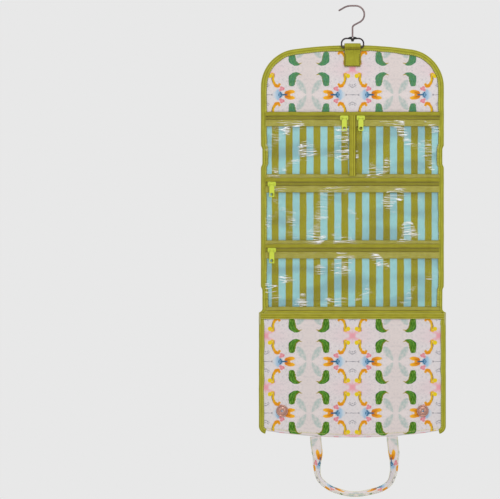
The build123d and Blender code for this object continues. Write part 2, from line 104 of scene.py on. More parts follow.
def lamp(name, place, aim, size, watts):
    """A rectangular area lamp at place, turned to shine at aim."""
    data = bpy.data.lights.new(name, "AREA")
    data.shape, data.size, data.size_y, data.energy = "RECTANGLE", size[0], size[1], watts
    thing = bpy.data.objects.new(name, data)
    thing.location = place
    thing.rotation_euler = (Vector(aim) - Vector(place)).to_track_quat("-Z", "Y").to_euler()
    scene.collection.objects.link(thing)


lamp("key", (0.5, -1.3, 1.1), (0, 0, -0.35), (0.9, 0.6), 7)
lamp("strip_above", (0.15, -1.5, 0.16), (0.02, 0, -0.3), (0.9, 0.04), 2.2)
lamp("strip_below", (-0.5, -1.5, -0.75), (0, 0, -0.35), (0.05, 0.6), 0.8)
lamp("back_rim", (0.6, 1.4, 0.5), (0, 0, -0.35), (1.0, 1.0), 4)

floor_mesh = bpy.data.meshes.new("floor")
floor_mesh.from_pydata([(-4, -4, -1.6), (4, -4, -1.6), (4, 4, -1.6), (-4, 4, -1.6)], [], [(0, 1, 2, 3)])
floor = bpy.data.objects.new("floor", floor_mesh)
scene.collection.objects.link(floor)

# %% [markdown]
# ## Shader sums written as Python
# A pattern is a sum worked out at every point of a surface. Linking Math nodes by hand hides the sum, so
# one small class wraps a socket: adding, multiplying or comparing two wires adds the Math node that does
# it. Colours are mixed by a Mix node, because a Math node would turn them grey.


# %% The wire class
class Wire:
    """A node tree and one of its sockets. Sums on wires add Math nodes."""

    def __init__(self, tree, socket=None):
        self.tree, self.socket = tree, socket

    def node(self, kind, settings=None, inputs=None, out=0):
        """Adds a node, sets its settings, feeds its sockets with numbers, tuples or wires, and returns one
        output."""
        made = self.tree.nodes.new(kind)
        for key, value in (settings or {}).items():
            if key == "stops":
                ramp = made.color_ramp
                while len(ramp.elements) < len(value):
                    ramp.elements.new(0.5)
                for element, (place, colour) in zip(ramp.elements, value):
                    element.position, element.color = place, colour
            elif key == "interpolation":
                made.color_ramp.interpolation = value
            else:
                setattr(made, key, value)
        for key, value in (inputs or {}).items():
            if isinstance(value, Wire):
                self.tree.links.new(value.socket, made.inputs[key])
            else:
                made.inputs[key].default_value = value
        return Wire(self.tree, made.outputs[out])

    def math(self, operation, *values):
        return self.node("ShaderNodeMath", {"operation": operation}, dict(enumerate(values)))

    def vector(self, operation, *values, out=0):
        return self.node("ShaderNodeVectorMath", {"operation": operation}, dict(enumerate(values)), out)

    def __add__(self, other):
        return self.math("ADD", self, other)

    def __sub__(self, other):
        return self.math("SUBTRACT", self, other)

    def __rsub__(self, other):
        return self.math("SUBTRACT", other, self)

    def __mul__(self, other):
        return self.math("MULTIPLY", self, other)

    def __truediv__(self, other):
        return self.math("DIVIDE", self, other)

    def __abs__(self):
        return self.math("ABSOLUTE", self)

    __radd__ = __add__
    __rmul__ = __mul__

    def clamp(self):
        """The value kept between 0 and 1."""
        return self.node("ShaderNodeClamp", None, {0: self})

    def above(self, low, gain):
        """0 where the value is below low, and rising from there by gain, up to 1."""
        return ((self - low) * gain).clamp()

    def wave(self, pitch):
        """A cosine of this length, from 0 to 1."""
        return self.math("COSINE", self * (TAU / pitch)) * 0.5 + 0.5

    def union(self, other):
        return self.math("MAXIMUM", self, other)


# %% Colours and finishes
def srgb(red, green, blue, alpha=1.0):
    """Linear colour of an 8-bit screen colour."""
    c = np.array([red, green, blue]) / 255
    linear = np.where(c <= 0.04045, c / 12.92, ((c + 0.055) / 1.055) ** 2.4)
    return (*[float(x) for x in linear], alpha)


def mix(share, first, second, blend="MIX"):
    """first where share is 0 and second where it is 1."""
    settings = {"data_type": "RGBA", "blend_type": blend}
    return share.node("ShaderNodeMix", settings, {0: share, 6: first, 7: second}, 2)


def noise(wire, scale, detail=2.0, vector=None):
    """Soft random grey from 0 to 1; scale is how many patches there are to one unit of the pattern's
    coordinates."""
    inputs = {"Scale": scale, "Detail": detail}
    if vector is not None:
        inputs["Vector"] = vector
    return wire.node("ShaderNodeTexNoise", None, inputs)


def streaks(start, detail, *sizes):
    """Soft random grey drawn out along some directions: sizes are coordinates already scaled to patches."""
    return noise(start, 1.0, detail, start.node("ShaderNodeCombineXYZ", None, dict(enumerate(sizes))))


def new_finish(name):
    """A material with its Principled shader, and a wire to start sums from."""
    finish = bpy.data.materials.new(name)
    finish.use_nodes = True
    return finish, finish.node_tree.nodes["Principled BSDF"], Wire(finish.node_tree)


def settle(shader, **values):
    """Sets the shader's sockets: numbers and tuples on the sockets, wires as links."""
    for key, value in values.items():
        socket = shader.inputs[key.replace("_", " ")]
        if isinstance(value, Wire):
            value.tree.links.new(value.socket, socket)
        else:
            socket.default_value = value


def cloth_place(start):
    """The piece's own map in millimetres: the cloth's (along, up) as two wires, and as one vector."""
    chart = start.node("ShaderNodeUVMap", {"uv_map": "cloth"})
    vector = start.node("ShaderNodeVectorMath", {"operation": "SCALE"}, {0: chart, "Scale": 1 / MM})
    along = start.node("ShaderNodeSeparateXYZ", None, {0: vector})
    up = Wire(start.tree, along.socket.node.outputs[1])
    return along, up, vector


def relief(height, strength, distance):
    """A bump from a height wire."""
    return height.node("ShaderNodeBump", None, {"Height": height, "Strength": strength, "Distance": distance})


print("screen grey 128 is", round(srgb(128, 128, 128)[0], 3), "in linear light")


# %% [markdown]
# ## The printed canvas
# The print is a kaleidoscope: one painted cell of 65 by 38.7 mm, mirrored left to right and up and down for
# ever. A Ping-pong node folds the cloth's coordinates into that cell, so each motif is described once: a
# leaf, a tulip, a scroll, blossoms and a fan. Each is a stain with a soft edge, found from its distance to
# an ellipse. The map is the cloth's own, in millimetres, so the print stays on the cloth when the bag
# folds.

# %% Stains
CELL_WIDE, CELL_HIGH = 65.2, 38.7


def stain(place, centre, radii, turn=0.0, soft=0.5):
    """1 inside an ellipse and 0 outside: the point is moved to the centre, turned, divided by the radii."""
    moved = place.vector("SUBTRACT", place, (*centre, 0))
    if turn:
        moved = moved.node("ShaderNodeVectorRotate", {"rotation_type": "Z_AXIS"},
                           {"Vector": moved, "Angle": -turn})
    scaled = moved.vector("MULTIPLY", moved, (1 / radii[0], 1 / radii[1], 0))
    reach = scaled.vector("LENGTH", scaled, out=1)
    return ((1 - reach) * (min(radii) / soft) + 0.5).clamp()


def stains(place, spots, soft=0.5):
    """Several ellipses as one stain; each spot is (x, y, radius x, radius y, turn in degrees)."""
    whole = None
    for x, y, rx, ry, degrees in spots:
        one = stain(place, (x, y), (rx, ry), np.radians(degrees), soft)
        whole = one if whole is None else whole.union(one)
    return whole


def blade(start, across, along, length, widths, soft=0.5):
    """A leaf blade: along runs from foot to tip. widths are pairs of a share of its length and a half width
    in cm, which a grey ramp carries."""
    share = along / length
    stops = [(place, (width, width, width, 1)) for place, width in widths]
    half = start.node("ShaderNodeValToRGB", {"stops": stops, "interpolation": "B_SPLINE"}, {0: share})
    inside = (share * (1 - share) * 400).clamp()
    return ((half * 10 - abs(across)) * (1 / soft)).clamp() * inside


# %% The painted cell
def print_colour(start, along, up, vector, cool=0.0):
    """The whole print at a cloth point, as a colour wire, and its fine grain. cool is how far the leaves'
    green turns to blue."""
    wobble = noise(start, 0.35, 3.0, vector)
    drift = (wobble - 0.5) * 1.6
    x = start.math("PINGPONG", along + drift, CELL_WIDE)
    y = start.math("PINGPONG", up + drift, CELL_HIGH)
    place = start.node("ShaderNodeCombineXYZ", None, {0: x, 1: y})
    mottle = noise(start, 0.28, 4.0, place)
    fine = noise(start, 1.1, 4.0, vector)
    # ground: cool grey white in the diamonds, warm towards the pale leaves, a blush round the star
    colour = mix((x * (1 / 58.0)).clamp(), srgb(225, 220, 221), srgb(230, 220, 217))
    colour = mix(stain(place, (0, CELL_HIGH), (30, 14), 0, 12) * 0.35, colour, srgb(236, 200, 206))
    colour = mix(stain(place, (CELL_WIDE, 22), (17, 20), 0, 9) * 0.8, colour, srgb(224, 213, 209))
    colour = mix(mottle.above(0.47, 6) * 0.34, colour, srgb(196, 191, 192))
    # pencil: flecks that thicken towards the green leaf, hairlines round the diamond, marks in its middle
    fleck = fine.above(0.6, 14)
    near = stain(place, (37, 21), (18, 20), 0, 14)
    colour = mix(fleck * (near * 0.45 + 0.16), colour, srgb(128, 132, 158))
    ring = place.vector("LENGTH", place, out=1)
    hair = ring.wave(3.4).above(0.9, 9) * mottle.above(0.48, 6)
    colour = mix(hair * near * 0.45, colour, srgb(120, 124, 150))
    marks = stains(place, [(0, 0, 6, 0.6, 0), (9, 0.4, 1.8, 0.7, 20), (2.8, 12.4, 3.2, 0.6, 35),
                           (0, 14.6, 1.6, 0.6, 0), (3.6, 15.6, 1.4, 0.6, 60), (0, 11.4, 1.0, 0.6, 0)], 0.8)
    colour = mix(marks * fine.above(0.32, 5) * 0.9, colour, srgb(108, 110, 122))
    # pale leaf, lying towards the crossing
    turn = np.radians(33)
    across = (x - 61.0) * np.cos(turn) + (y - 1.6) * np.sin(turn)
    reach = (y - 1.6) * np.cos(turn) - (x - 61.0) * np.sin(turn)
    pale_widths = [(0, 0.14), (0.25, 0.5), (0.6, 0.62), (0.85, 0.5), (1, 0.2)]
    pale = blade(start, across, reach, 25.0, pale_widths, 2.2)
    veins = (reach + abs(across) * 0.8).wave(2.6)
    colour = mix(pale * (veins * 0.16 + ((mottle - 0.5) * 2.2) + 0.62).clamp(), colour, srgb(178, 194, 188))
    # pink star on the mirror line: two crossed arms
    star = stains(place, [(0, CELL_HIGH, 8.8, 2.2, -46), (0, CELL_HIGH, 4.6, 4.2, 0),
                          (0, CELL_HIGH, 1.4, 6.6, 0)], 2.6)
    colour = mix(star * 0.8, colour, srgb(236, 150, 164))
    # scroll: a ball, a band that swings outwards and a curled head, with a brown shade on one side
    stem = stains(place, [(10.6, 31.4, 2.9, 1.4, -12), (11.6, 27.4, 3.9, 1.8, 92), (11.2, 22.2, 3.6, 2.0, 95),
                          (12.8, 17.6, 3.4, 2.2, 110), (15.6, 13.9, 3.3, 2.7, 135),
                          (18.8, 13.0, 2.9, 2.4, 20), (20.7, 15.6, 1.7, 2.0, 60)], 0.6)
    shade = stains(place, [(9.5, 25.2, 3.0, 0.9, 85), (10.2, 20.4, 2.4, 0.7, 100),
                           (13.2, 29.0, 2.6, 0.6, 86)], 0.8)
    bulb = stains(place, [(6.5, 28.3, 3.3, 3.3, 0)], 0.5)
    blush = stains(place, [(10.6, 32.6, 5.0, 1.3, 150)], 1.4)
    colour = mix(blush * 0.7, colour, srgb(236, 166, 178))
    gold = mix(y.above(13.0, 1 / 9.0), srgb(228, 146, 16), srgb(232, 190, 30))
    gold = mix(fine.above(0.5, 6) * 0.4, gold, srgb(204, 128, 20))
    colour = mix(stem, colour, gold)
    colour = mix(shade * 0.8, colour, srgb(128, 96, 44))
    colour = mix(bulb, colour, mix(fine.above(0.3, 3), srgb(220, 188, 10), srgb(240, 214, 36)))
    # blossoms
    petals = stains(place, [(22.8, 7.6, 2.7, 2.0, 30), (26.4, 8.8, 2.6, 2.0, 60),
                            (23.6, 11.0, 2.2, 1.8, 0)], 0.7)
    colour = mix(petals * 0.9, colour, mix(mottle.above(0.3, 2.4), srgb(214, 96, 112), srgb(238, 156, 166)))
    # fan: pale towards the middle of the diamond, deeper towards its stalk
    fan = stains(place, [(20.6, 1.4, 4.8, 3.4, 0), (17.4, 4.6, 3.8, 2.4, 55), (14.6, 1.4, 3.6, 3.6, 0)], 1.8)
    blue = mix(x.above(13, 1 / 10.0), srgb(188, 216, 232), srgb(96, 160, 206))
    colour = mix(fan * x.above(9, 1 / 8.0) * fine.above(0.2, 4) * 0.9, colour, blue)
    stalk = stains(place, [(27.4, 0, 5.8, 1.25, 0), (22.6, 2.8, 2.6, 0.8, 128),
                           (20.0, 0.6, 2.0, 0.6, 60)], 0.5)
    # tulip: two blunt petals that part
    tulip = stains(place, [(37.6, 4.4, 6.6, 2.9, 4), (33.2, 2.3, 4.6, 3.9, 0)], 0.5)
    flame = mix(x.above(30, 1 / 12.0), srgb(216, 120, 12), srgb(244, 180, 40))
    colour = mix(tulip, colour, mix(fine.above(0.5, 4) * 0.5, flame, srgb(246, 204, 70)))
    colour = mix(stain(place, (33.4, 2.6), (4.4, 0.8), 0.3, 0.7) * 0.6, colour, srgb(176, 84, 14))
    colour = mix(stalk, colour, mix(fine.above(0.35, 3), srgb(22, 74, 116), srgb(40, 122, 158)))
    # green leaf: broad, its end bent out to a point, its edge nicked, with lighter strokes
    lift = y - 12.8
    bend = lift / 21.0
    sweep = bend.above(0.58, 3.1)
    across = x - (39.2 + bend * 1.7 + sweep * sweep * 5.0)
    leaf_widths = [(0, 0.22), (0.06, 0.42), (0.25, 0.52), (0.46, 0.58), (0.66, 0.62), (0.82, 0.7),
                   (0.92, 0.66), (0.97, 0.42), (1, 0.16)]
    ragged = (lift.wave(4.6) - 0.5) * 0.7 + (fine - 0.5) * 3.0 + (mottle - 0.5) * 2.0
    leaf = blade(start, abs(across) + ragged * 0.5, lift, 21.0, leaf_widths, 0.5)
    spur = stain(place, (51.0, 30.6), (3.6, 0.8), np.radians(-14), 0.6)
    green = mix(bend.clamp(), srgb(58, 116, 12), srgb(34, 118, 26))
    green = mix(mottle.above(0.44, 7) * 0.35, green, srgb(84, 108, 0))
    brush = streaks(start, 2.0, across * 0.55, lift * 0.2)
    green = mix(brush.above(0.46, 9) * ((4.6 - abs(across + 0.6)) * 0.6).clamp() * 0.75, green,
                srgb(122, 166, 66))
    green = mix(((0.44 - brush) * 9).clamp() * 0.4, green, srgb(52, 84, 0))
    green = mix(across.above(3.4, 0.7) * 0.85, green, srgb(150, 146, 8))
    green = mix(abs(across).above(4.4, 0.9) * 0.4, green, srgb(30, 66, 4))
    if cool:
        green = mix((mottle * 1.2).clamp() * cool, green, srgb(84, 146, 122))
    colour = mix(spur, colour, srgb(166, 148, 28))
    return mix(leaf, colour, green), fine


# %% Canvas finishes
def canvas(name, gloss=0.62, cool=0.0):
    """Printed cotton canvas: the print, a plain weave 0.55 mm apart, and soft creases with painted shade."""
    finish, shader, start = new_finish(name)
    along, up, vector = cloth_place(start)
    colour, fine = print_colour(start, along, up, vector, cool)
    weave = along.wave(0.55) * 0.5 + up.wave(0.55) * 0.5
    crease_bump_and_shade = noise(start, 0.03, 2.0, vector)
    # the weave's tone, and painted shade where the soft creases lie, darken the print
    colour = mix((weave * 0.14 + (1 - crease_bump_and_shade) * 0.2).clamp(), colour, (0.64, 0.57, 0.58, 1), "MULTIPLY")
    settle(shader, Base_Color=colour, Roughness=weave * 0.1 + gloss, Specular_IOR_Level=0.15,
           Normal=relief(weave * 0.25 + fine * 0.5 + crease_bump_and_shade * 3.0, 0.5, 0.0004))
    return finish


PRINT = canvas("printed_canvas")
TOP_PRINT = canvas("printed_canvas_top", cool=0.95)
print("print has", len(PRINT.node_tree.nodes), "nodes")

# %% [markdown]
# ## Ribbon, lining, film, thread and metal
# The green ribbon is a grosgrain: fine ribs run along it and catch light one by one, with painted highlight
# and shade on them as well. The lining is a satin stripe, aqua and olive, 20.9 mm from one aqua to the next.
# The clear film is the hard one: real film is nearly all holes to the eye, so it mixes a transparent shader
# with a glossy white one, and a map of painted glints, thin lines and blotches, decides where the white
# shows.


# %% Ribbon and webbing
def ribbon(name, light, dark, rib=0.95, edge=None, broad=None, lip=False, bent=None, gloss=0.55):
    """Woven ribbon: ribs along its length, lightened on their crests and darkened in their grooves as painted
    highlight and shade, and cloudy wear. edge is the half width of its map, where painted shade darkens it;
    broad is the length of a slow wave across it, painted bands of highlight and shade; lip darkens its sewn
    lip with painted shade; bent is the stretch of its length darkened with painted shade where it goes over a
    bar."""
    finish, shader, start = new_finish(name)
    along, across, vector = cloth_place(start)
    ribs = across.wave(rib)
    threads = along.wave(0.62)
    cloud = noise(start, 0.12, 3.0, vector)
    streak = streaks(start, 2.0, along * 0.05, across * 1.1)
    # painted highlight on the rib crests and painted shade in the grooves, with the cross threads' tone and
    # cloudy wear
    shade = (ribs * 0.3 + threads * 0.12 + (cloud - 0.5) * 0.8 + (streak - 0.5) * 1.3 + 0.28).clamp()
    # painted highlight and shade: slow light and dark bands across the ribbon
    if broad:
        shade = (shade * 0.6 + (across + 0.5).wave(broad) * 0.55 - 0.05).clamp()
    colour = mix(shade, dark, light)
    # painted shade: the ribbon darkens towards both edges
    if edge:
        rim = abs(across).above(edge - 0.8, 1.8)
        colour = mix(rim * 0.7, colour, srgb(92, 74, 14))
    # painted shade where the webbing goes over the ring's bar
    if bent:
        bar_shade = (along - bent[0]).clamp() * (bent[1] - along).clamp()
        colour = mix(bar_shade * (cloud + 0.1).clamp(), colour, srgb(112, 100, 0))
    # painted shade along the lip where the binding meets the canvas
    if lip:
        colour = mix(((1.0 - across) * 1.8).clamp() * 0.85, colour, srgb(74, 62, 8))
    settle(shader, Base_Color=colour, Roughness=ribs * 0.12 + gloss, Specular_IOR_Level=0.25,
           Normal=relief(ribs + threads * 0.35, 0.6, 0.00022))
    return finish


BINDING = ribbon("green_binding_ribbon", srgb(184, 182, 58), srgb(124, 120, 10), broad=3.4, lip=True)
BAND = ribbon("green_band_ribbon", srgb(184, 179, 50), srgb(116, 108, 4), rib=1.25, edge=5.2, broad=3.5)
# bent marks the stretch over the ring's bar, darkened with painted shade
WEBBING = ribbon("olive_webbing", srgb(178, 176, 50), srgb(138, 134, 20), rib=1.5, edge=12.0,
                 bent=(25.0, 30.6), gloss=0.6)
TAPE = ribbon("zip_tape_weave", srgb(186, 180, 88), srgb(146, 138, 40), rib=0.8)
print("ribbon finishes:", BINDING.name, BAND.name, WEBBING.name, TAPE.name)


# %% Lining
def striped_lining():
    """Satin stripes across the bag, 20.9 mm from aqua to aqua, with fine threads running down and painted
    shade in soft folds.
    """
    finish, shader, start = new_finish("striped_satin")
    along, up, vector = cloth_place(start)
    waver = (noise(start, 0.05, 1.0, vector) - 0.5) * 1.2
    stripe = (((along + waver + 1.0).wave(20.9) - 0.5) * 9 + 0.5).clamp()
    warp = along.wave(0.8)
    slub = streaks(start, 2.0, along * 1.76, up * 0.132)
    colour = mix(stripe, srgb(158, 150, 10), srgb(158, 210, 212))
    # painted shade: soft folds darken the stripes
    fold_shade = streaks(start, 1.0, along * 0.012, up * 0.035)
    colour = mix(((0.54 - fold_shade) * 6).clamp() * 0.55, colour, (0.6, 0.58, 0.66, 1), "MULTIPLY")
    colour = mix((warp * 0.14 + ((slub - 0.5) * 1.2 + 0.1)).clamp() * 0.4, colour, srgb(70, 88, 50))
    settle(shader, Base_Color=colour, Roughness=0.5, Specular_IOR_Level=0.25,
           Normal=relief(warp + slub, 0.4, 0.0002))
    return finish


STRIPES = striped_lining()
print("lining has", len(STRIPES.node_tree.nodes), "nodes")


# %% Film
def clear_film():
    """Clear film: opaque glossy white along painted glints, thin lines and blotches, and open everywhere
    else.
    """
    finish, shader, start = new_finish("clear_film")
    along, up, vector = cloth_place(start)
    bent = (noise(start, 0.022, 2.0, vector) - 0.5) * 9
    tall = up + bent
    field = streaks(start, 1.0, along * 0.013, tall * 0.13)
    thin = streaks(start, 1.0, along * 0.02, tall * 0.3, 4.0)
    ridge = (1 - abs(field - 0.5) * 46).clamp()
    hair = (1 - abs(thin - 0.5) * 26).clamp()
    patch = noise(start, 0.03, 1.0, vector).above(0.53, 14)
    lively = noise(start, 0.016, 1.0, vector).above(0.44, 9)
    spots = noise(start, 0.22, 1.0, vector).above(0.8, 30)
    # painted glints: thin white lines and blotches where the film turns opaque white
    painted_glints = ((ridge + hair * 0.7) * patch * lively + spots * 0.6).clamp()
    rim = start.node("ShaderNodeFresnel", None, {"IOR": 1.4})
    share = (painted_glints * 0.9 + rim * 0.12 + 0.003).clamp()
    settle(shader, Base_Color=(1, 1, 1, 1), Roughness=0.1, Metallic=0.0, Specular_IOR_Level=0.8,
           Normal=relief(field * 0.5 + thin * 0.3, 0.4, 0.0012))
    output = finish.node_tree.nodes["Material Output"]
    open_part = start.node("ShaderNodeBsdfTransparent")
    glossy = Wire(finish.node_tree, shader.outputs[0])
    mixed = start.node("ShaderNodeMixShader", None, {0: share, 1: open_part, 2: glossy})
    finish.node_tree.links.new(mixed.socket, output.inputs["Surface"])
    return finish


FILM = clear_film()
print("film has", len(FILM.node_tree.nodes), "nodes")


# %% Plain finishes
def plain(name, colour, roughness, metallic=0.0, wear=0.0, grain=120.0, **rest):
    """One colour with a little wear: a noise in the object's own metres lightens it and roughens it."""
    finish, shader, start = new_finish(name)
    place = start.node("ShaderNodeTexCoord", out=3)
    cloud = noise(start, grain, 3.0, place)
    worn = (*[min(1.0, 2.2 * c + 0.02) for c in colour[:3]], 1)
    settle(shader, Base_Color=mix((cloud * wear).clamp(), colour, worn),
           Roughness=cloud * 0.12 + roughness - 0.06, Metallic=metallic, **rest)
    return finish


DARK_METAL = plain("dark_ring_metal", srgb(62, 56, 60), 0.25, 1.0, 0.12, 30.0)
BLACK_METAL = plain("black_cap_metal", srgb(10, 9, 10), 0.45, 0.1, 0.1, 30.0)
# a bright metal dot that stands in for the glint on the swivel cap: a painted highlight
GLINT_DOT_METAL = plain("bright_rivet_metal", srgb(226, 214, 214), 0.25, 1.0, 0.1, 30.0)
ROSE = plain("rose_snap_metal", srgb(186, 142, 128), 0.3, 1.0, 0.1, 600.0)
GOLD = plain("plate_gold", srgb(206, 176, 112), 0.26, 1.0, 0.15)
LIME = plain("lime_enamel", srgb(196, 212, 44), 0.3, 0.0, 0.06, 700.0, Coat_Weight=0.4)
COIL = plain("zip_coil_nylon", srgb(158, 152, 34), 0.42, 0.0, 0.2, 900.0)
THREAD = plain("light_green_thread", srgb(196, 198, 112), 0.6, 0.0, 0.2, 1500.0)
TAN_THREAD = plain("dark_olive_thread", srgb(112, 100, 22), 0.6, 0.0, 0.2, 1500.0)
BROWN_THREAD = plain("brown_thread", srgb(84, 66, 14), 0.65, 0.0, 0.2, 1500.0)
BOARD = plain("stiffener_board", srgb(150, 140, 120), 0.8, 0.0, 0.1)
FOAM = plain("soft_foam", srgb(220, 216, 205), 0.9, 0.0, 0.1)
WASHER = plain("washer_steel", srgb(160, 160, 160), 0.35, 1.0, 0.1)


def hook_metal():
    """Grey plated wire, going black over its last few millimetres, where the end is upset into a head."""
    finish, shader, start = new_finish("gunmetal_hook")
    place = start.node("ShaderNodeTexCoord", out=3)
    height = place.node("ShaderNodeSeparateXYZ", None, {0: place}, 2)
    cloud = noise(start, 30.0, 3.0, place)
    head = ((-0.0455 - height) * 1500).clamp()
    wire = mix(cloud * 0.12, srgb(126, 108, 108), srgb(190, 170, 170))
    settle(shader, Base_Color=mix(head, wire, srgb(8, 7, 8)), Roughness=cloud * 0.12 + 0.3,
           Metallic=1 - head * 0.9)
    return finish


GUNMETAL = hook_metal()
print(len(bpy.data.materials), "finishes")

# %% [markdown]
# ## Closed sheets worked out as grids
# A bag is sewn from thin sheets, so nearly every piece here is the same thing: a grid of points on the
# front, the same grid on the back, and a border that joins them. numpy works out each grid at once from two
# numbers, across and down. Wrinkles are a sum of a few dozen plane waves with seeded directions and phases,
# which is what a crease pattern is to first order, and costs one line.


# %% Grid helpers
def grid_faces(rows, columns, ring=False):
    """Four-cornered faces of a grid stored row by row; ring joins the last column to the first."""
    index = np.arange(rows * columns).reshape(rows, columns)
    if ring:
        index = np.hstack([index, index[:, :1]])
    return spread(index[:-1, :-1], index[:-1, 1:], index[1:, 1:], index[1:, :-1]).reshape(-1, 4)


def spread(*grids):
    """Grids of different shapes filled out to one shape and joined as coordinates."""
    return np.stack(np.broadcast_arrays(*grids), -1)


def same(direction, path):
    """One direction, repeated for every point of a path."""
    return np.tile(direction, (len(path), 1))


def distances(path):
    """How far along a path each of its points is."""
    return np.concatenate([[0], np.cumsum(np.linalg.norm(np.diff(path, axis=0), axis=1))])


def headings(path):
    """The unit direction in which a path runs at each of its points."""
    way = np.gradient(path, axis=0)
    return way / np.linalg.norm(way, axis=1, keepdims=True)


def found(path, gone, at):
    """The points of a path at the distances at, where gone is the distance of each of its own points."""
    return np.stack([np.interp(at, gone, path[:, k]) for k in range(path.shape[1])], -1)


def closed(points, faces, chart=None, finish=0):
    """A closed part: its points, blocks of faces, the points' places on the flat cloth, and which finish it
    takes."""
    points = points.reshape(-1, 3)
    chart = np.zeros((len(points), 2)) if chart is None else chart.reshape(-1, 2)
    return {"points": points, "faces": faces, "chart": chart, "finish": finish}


def tube(grid, chart=None, finish=0):
    """A closed part from rings of points, one ring to a row, with its first and last rings capped."""
    rows, steps = grid.shape[:2]
    ends = np.array([np.arange(steps)[::-1], np.arange(steps) + (rows - 1) * steps])
    return closed(grid, [grid_faces(rows, steps, True), ends], chart, finish)


def shell(front, back, chart, finish=0):
    """A closed sheet: each row runs along the front and returns along the back, and both end rows are
    capped. chart is each point's place on the flat cloth."""
    rows, columns = front.shape[:2]
    wide = 2 * columns
    i = np.arange(columns - 1)
    first = spread(i + 1, i, wide - 1 - i, wide - 2 - i)
    last = spread(i, i + 1, wide - 2 - i, wide - 1 - i) + (rows - 1) * wide
    return closed(np.concatenate([front, back[:, ::-1]], 1), [grid_faces(rows, wide, True), first, last],
                  np.concatenate([chart, chart[:, ::-1]], 1), finish)


# %% A piece from its parts
def volume(part):
    """The signed volume inside a closed part: a sixth of the sum of a · (b × c) over its triangles."""
    total = 0.0
    for block in part["faces"]:
        corners = part["points"][block]
        for k in range(1, block.shape[1] - 1):
            total += np.einsum("ij,ij->", corners[:, 0], np.cross(corners[:, k], corners[:, k + 1]))
    return total / 6


def put(name, parts, finishes, slot, body=None, between=None, stands=(), flat=None, rests_on=()):
    """Makes one piece from closed parts and lets it ride on a body; given between, it stays where it is made."""
    points, charts, faces, kinds, start = [], [], [], [], 0
    for part in parts:
        turned = volume(part) < 0
        for block in part["faces"]:
            block = block[:, ::-1] if turned else block
            faces += (block + start).tolist()
            kinds.append(np.full(len(block), part["finish"], np.int32))
        points.append(part["points"])
        charts.append(part["chart"])
        start += len(part["points"])
    mesh = bpy.data.meshes.new(name)
    mesh.from_pydata(np.concatenate(points).tolist(), [], faces)
    layer = mesh.uv_layers.new(name="cloth")
    corner_of = np.empty(len(mesh.loops), np.int32)
    mesh.loops.foreach_get("vertex_index", corner_of)
    layer.data.foreach_set("uv", np.concatenate(charts)[corner_of].astype(np.float32).ravel())
    for finish in finishes:
        mesh.materials.append(finish)
    mesh.polygons.foreach_set("material_index", np.concatenate(kinds))
    mesh.polygons.foreach_set("use_smooth", np.ones(len(faces), bool))
    mesh.update()
    mesh.set_sharp_from_angle(angle=np.radians(50))
    thing = bpy.data.objects.new(name, mesh)
    scene.collection.objects.link(thing)
    if between:
        above, below, line = between
        line + BEND
        line - BEND
        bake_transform(thing)
    else:
        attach(thing, body)
    if stands:
        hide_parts(*stands)
    return thing


# %% Wrinkles and folds
def wrinkles(x, z, seed, count=24, lengths=(0.008, 0.04), turn=(0, 180), sharp=1.0):
    """Between about -1 and 1: plane waves added up, each a cosine of the distance along its own direction,
    with seeded length, direction and phase, and weighted by its length. sharp above 1 narrows the
    crests."""
    rng = np.random.default_rng(seed)
    length = np.exp(rng.uniform(*np.log(lengths), count))
    angle = np.radians(rng.uniform(*turn, count))
    phase = rng.uniform(0, TAU, count)
    bend = 0.35 * np.sin(x[..., None] * 60 + phase) * length
    wave = np.cos((x[..., None] * np.cos(angle) + z[..., None] * np.sin(angle) + bend) * TAU / length + phase)
    wave = np.sign(wave) * np.abs(wave) ** sharp
    return (wave * length).sum(-1) / np.sqrt((length**2).sum() * 2)


def step(value, low, high):
    """0 below low, 1 above high, and a smooth step between."""
    t = np.clip((value - low) / (high - low), 0, 1)
    return t * t * (3 - 2 * t)


def pinch(z):
    """1 in the two places where the bag folds, 0 on the flat panels."""
    top = step(z, FOLDS[1] - 0.004, FOLDS[1] + 0.003) * step(-z, -FOLDS[0] - 0.004, -FOLDS[0] + 0.003)
    base = step(z, FOLDS[3] - 0.001, FOLDS[3] + 0.004) * step(-z, -FOLDS[2] - 0.004, -FOLDS[2] + 0.003)
    return top + base


def tilt(z):
    """How far the lining stands forward, 0 to 1, as the cloth leans out above each fold and back into
    it."""
    heights = [-0.458, -0.451, -0.431, -0.401, -0.371, -0.256, -0.245, -0.224, -0.190, -0.170]
    return np.interp(z, heights, [0.3, 0.6, 0.0, 1.0, 0.2, 0.1, 0.6, 0.0, 1.0, 0.2])


MID_TOP, MID_BACK, MID_BASE = (FOLDS[0] + FOLDS[1]) / 2, (FOLDS[1] + FOLDS[2]) / 2, (FOLDS[2] + FOLDS[3]) / 2
CROSSINGS = {"top": ("upper_part", "top_spine", FOLDS[0]), "middle": ("top_spine", "back_part", FOLDS[1]),
             "lower": ("back_part", "base_spine", FOLDS[2]), "foot": ("base_spine", "front_cover", FOLDS[3])}
print("the cloth is cut at", [round(float(z), 4) for z in (MID_TOP, MID_BACK, MID_BASE)])

# %% [markdown]
# ## The outline and the long panels
# The strip is straight sided; its top is a shallow arch that runs into two round shoulders. The arch is a
# circle of 625 mm and each shoulder one of 57 mm inside it, so an inset outline only makes both radii
# smaller. Panels that cross a fold are cut half way between two folds.

# %% Outline
ARCH_Z, ARCH_R, SHOULDER_X, SHOULDER_Z, SHOULDER_R = -0.6823, 0.625, 0.0805, -0.120, 0.057
HALF = 0.1375
COVER_HALF = 0.1405


